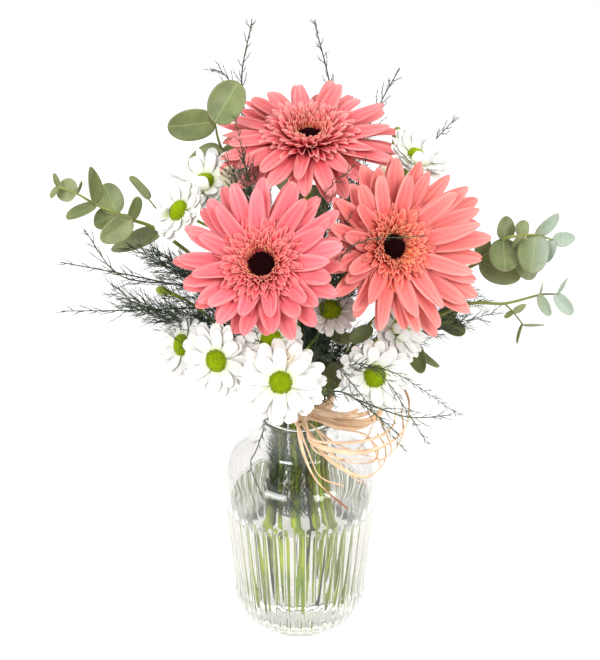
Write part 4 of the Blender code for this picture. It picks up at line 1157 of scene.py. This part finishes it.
def ribbon(made, path, width, twist, tone):
    """A flat dry strand with a slight gutter, along path. twist: how it is turned at its two ends."""
    sides, ups = path_frames(path)
    ways = np.gradient(path, axis=0)
    rows = len(path)
    phase = rng.uniform(0, TAU)
    grid = []
    for row in range(rows):
        share = row / (rows - 1)
        turn = twist[0] + (twist[1] - twist[0]) * share
        across = sides[row] * math.cos(turn) + ups[row] * math.sin(turn)
        off = np.cross(across, ways[row])
        off /= np.linalg.norm(off)
        here = width * (0.55 + 0.45 * min(1, 8 * share, 8 * (1 - share)))
        here = here * (1 + 0.12 * math.sin(11 * share + phase))
        grid.append([path[row] + across * u * here / 2 + off * (GUTTER * here * math.cos(u * 4.2))
                     for u in np.linspace(-1, 1, 7)])
    made.grid(np.array(grid), tone)


def free_strand(name, route, width, twist, material, *nodes):
    """One loose strand of raffia, which springs out of the knot and holds its own dry curl."""
    path = smooth_path(route, 8)
    made = Surfaces()
    ribbon(made, path, width, twist, rng.random())
    piece = show(made.build("strand_" + name, material, None, 0.0004), "raffia", *nodes)
    tuple(route[0])


for (strand, route), width in zip(STRANDS.items(), metres((4.4, 3.4, 3.0, 2.8))):
    kind = "raffia_tail" if strand == "raffia_tail" else "raffia"
    free_strand(strand, metres(route), width, (0.4, 2.4), kind, strand)

# Strands beside those: the one that each follows, how far off it runs at its start, middle and end, its
# width, both in millimetres, and the share of the way that it goes.
SPLIT_STRANDS = (
    ("raffia_band_loop", ((0, 0, -4), (1, -3, 4), (-2, -3, 2)), 5.8, 1.0),
    ("raffia_band_loop", ((0, -2, 4), (-3, -1, 8), (-4, -4, 6)), 5.2, 1.0),
    ("raffia_band_loop", ((0, -3, -1), (-4, -4, -4), (-10, -2, -3)), 3.4, 0.9),
    ("raffia_band_loop", ((0, -1, 6), (-10, -3, 13), (-16, -3, 4)), 4.6, 0.9),
    ("raffia_band_loop", ((0, 0, 3), (2, -6, 2), (-14, -12, 10)), 1.6, 1.0),
    ("raffia_wide_loop", ((0, -1, 1), (-3, 3, 8), (-14, 0, -4)), 2.2, 1.0),
    ("raffia_wide_loop", ((0, -2, -2), (2, -3, -7), (-9, -1, 1)), 1.3, 0.9),
    ("raffia_low_loop", ((0, -1, 1), (-2, 1, 9), (-12, -4, 2)), 1.5, 1.0),
    ("raffia_tail", ((1, -1, 0), (6, -1, 3), (16, 2, 8)), 1.4, 0.9),
)
for index, (strand, shifts, width, share) in enumerate(SPLIT_STRANDS):
    knots, shifts, width = np.array(metres(STRANDS[strand])), metres(shifts), width / 1000
    along = np.linspace(0, 1, len(knots))
    drift = np.stack([np.interp(along, (0, 0.5, 1), shift) for shift in zip(*shifts)], -1)
    drift[1:] += [[rng.uniform(-0.0018, 0.0018) for _ in range(3)] for _ in knots[1:]]
    route = (knots + drift)[: max(4, round(len(knots) * share))]
    free_strand(f"split_{index}", route.tolist(), width, (rng.uniform(0, 1), rng.uniform(1.5, 6)), "raffia")

# Thin ends that cross in front of the loops, in millimetres.
LOOSE_ENDS = (
    ((30, -40, 196), (48, -45, 194), (55, -50, 180), (58, -50, 168)),
    ((52, -40, 200), (48, -45, 192), (40, -50, 184), (30, -48, 180)),
    ((56, -40, 205), (62, -45, 195), (65, -50, 183), (56, -52, 176)),
    ((10, -36, 196), (20, -50, 187), (35, -56, 168), (48, -52, 156)),
    ((6, -34, 198), (24, -48, 190), (42, -53, 184), (56, -50, 178)),
)
for index, route in enumerate(LOOSE_ENDS):
    free_strand(f"loose_{index}", metres(route), 0.0013 + 0.0002 * (index % 3),
                (rng.uniform(0, 1), rng.uniform(1.5, 3)), "raffia")

# The turns round the stems, and the knot in front.
wrap_low, wrap_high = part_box("raffia_wrap")
made = Surfaces()
for _ in range(30):
    start = rng.uniform(0, TAU)
    z0, z1 = (wrap_low.z + 0.0015 + (wrap_high.z - wrap_low.z - 0.0035) * rng.random() for _ in range(2))
    radius = 0.0230 + rng.uniform(0, 0.0020)
    angles = np.linspace(start, start + TAU * 1.02, 64)
    path = np.stack([radius * np.cos(angles), radius * np.sin(angles),
                     z0 + (z1 - z0) * (0.5 - 0.5 * np.cos(angles - start))], -1)
    ribbon(made, path, rng.uniform(0.0012, 0.0034), (math.pi / 2, math.pi / 2 + rng.uniform(-0.3, 0.3)),
           rng.random())
knot = np.array((0.0, -0.0275, wrap_high.z - 0.0070))
for _ in range(7):
    tilt, lean = rng.uniform(0, TAU), rng.uniform(-0.7, 0.7)
    angles = np.linspace(tilt, tilt + 5.2, 30)
    loop = np.stack(
        [0.0046 * np.cos(angles), 0.0030 * np.sin(angles) - 0.001, 0.0046 * np.sin(angles + lean)], -1)
    ribbon(made, knot + loop, rng.uniform(0.0020, 0.0032), (0.3, 1.4), rng.random())
show(made.build("raffia_turns", "raffia", None, 0.0004), "raffia", "raffia_wrap")

# ---------------------------------------------------------------- floor, light and camera

floor = linked("floor", bpy.data.meshes.new("floor"))
floor.data.from_pydata([(-9, -9, 0), (9, -9, 0), (9, 9, 0), (-9, 9, 0)], [], [(0, 1, 2, 3)])
t = look("pale_floor", 0.9, Specular_IOR_Level=0.1)
grain = t.noise(t.place(), 3.0, 2.0)
floor.data.materials.append(t.paint(t.mix(grain, (0.92, 0.92, 0.92), (0.94, 0.94, 0.94))))
floor.location.z = -0.0002

world = bpy.data.worlds.new("studio")
bpy.context.scene.world = world
sky = Nodes(world)
background = sky.tree.nodes["Background"]
background.inputs["Color"].default_value = (1.0, 1.0, 1.0, 1.0)
# It lights matt surfaces less than it shows in the glass and behind the flowers.
softer = sky.times(sky.add("LightPath").outputs["Is Diffuse Ray"], -0.4)
sky.feed(background.inputs["Strength"], sky.maths("ADD", softer, 1.0))


def softbox(name, place, target, width, height, watts):
    light = bpy.data.lights.new(name, "AREA")
    light.shape, light.size, light.size_y, light.energy = "RECTANGLE", width, height, watts
    lamp = linked(name, light)
    lamp.location = place
    lamp.rotation_euler = (Vector(target) - Vector(place)).to_track_quat("-Z", "Y").to_euler()


softbox("left_softbox", (-1.35, -1.5, 1.7), (0, 0, 0.2), 1.3, 0.8, 44)
softbox("right_softbox", (1.35, -1.5, 1.7), (0, 0, 0.2), 1.3, 0.8, 40)
softbox("top_softbox", (0, 0.5, 2.2), (0, 0, 0.2), 1.6, 1.6, 16)

camera = linked("camera", bpy.data.cameras.new("camera"))
camera.data.lens = 94.7
camera.data.sensor_width = 36
camera.location = (0, -1.0825, 0.880)
camera.rotation_euler = (math.radians(60), 0, 0)
camera.data.clip_start = 0.01
bpy.context.scene.camera = camera
bpy.context.scene.view_settings.view_transform = "Standard"
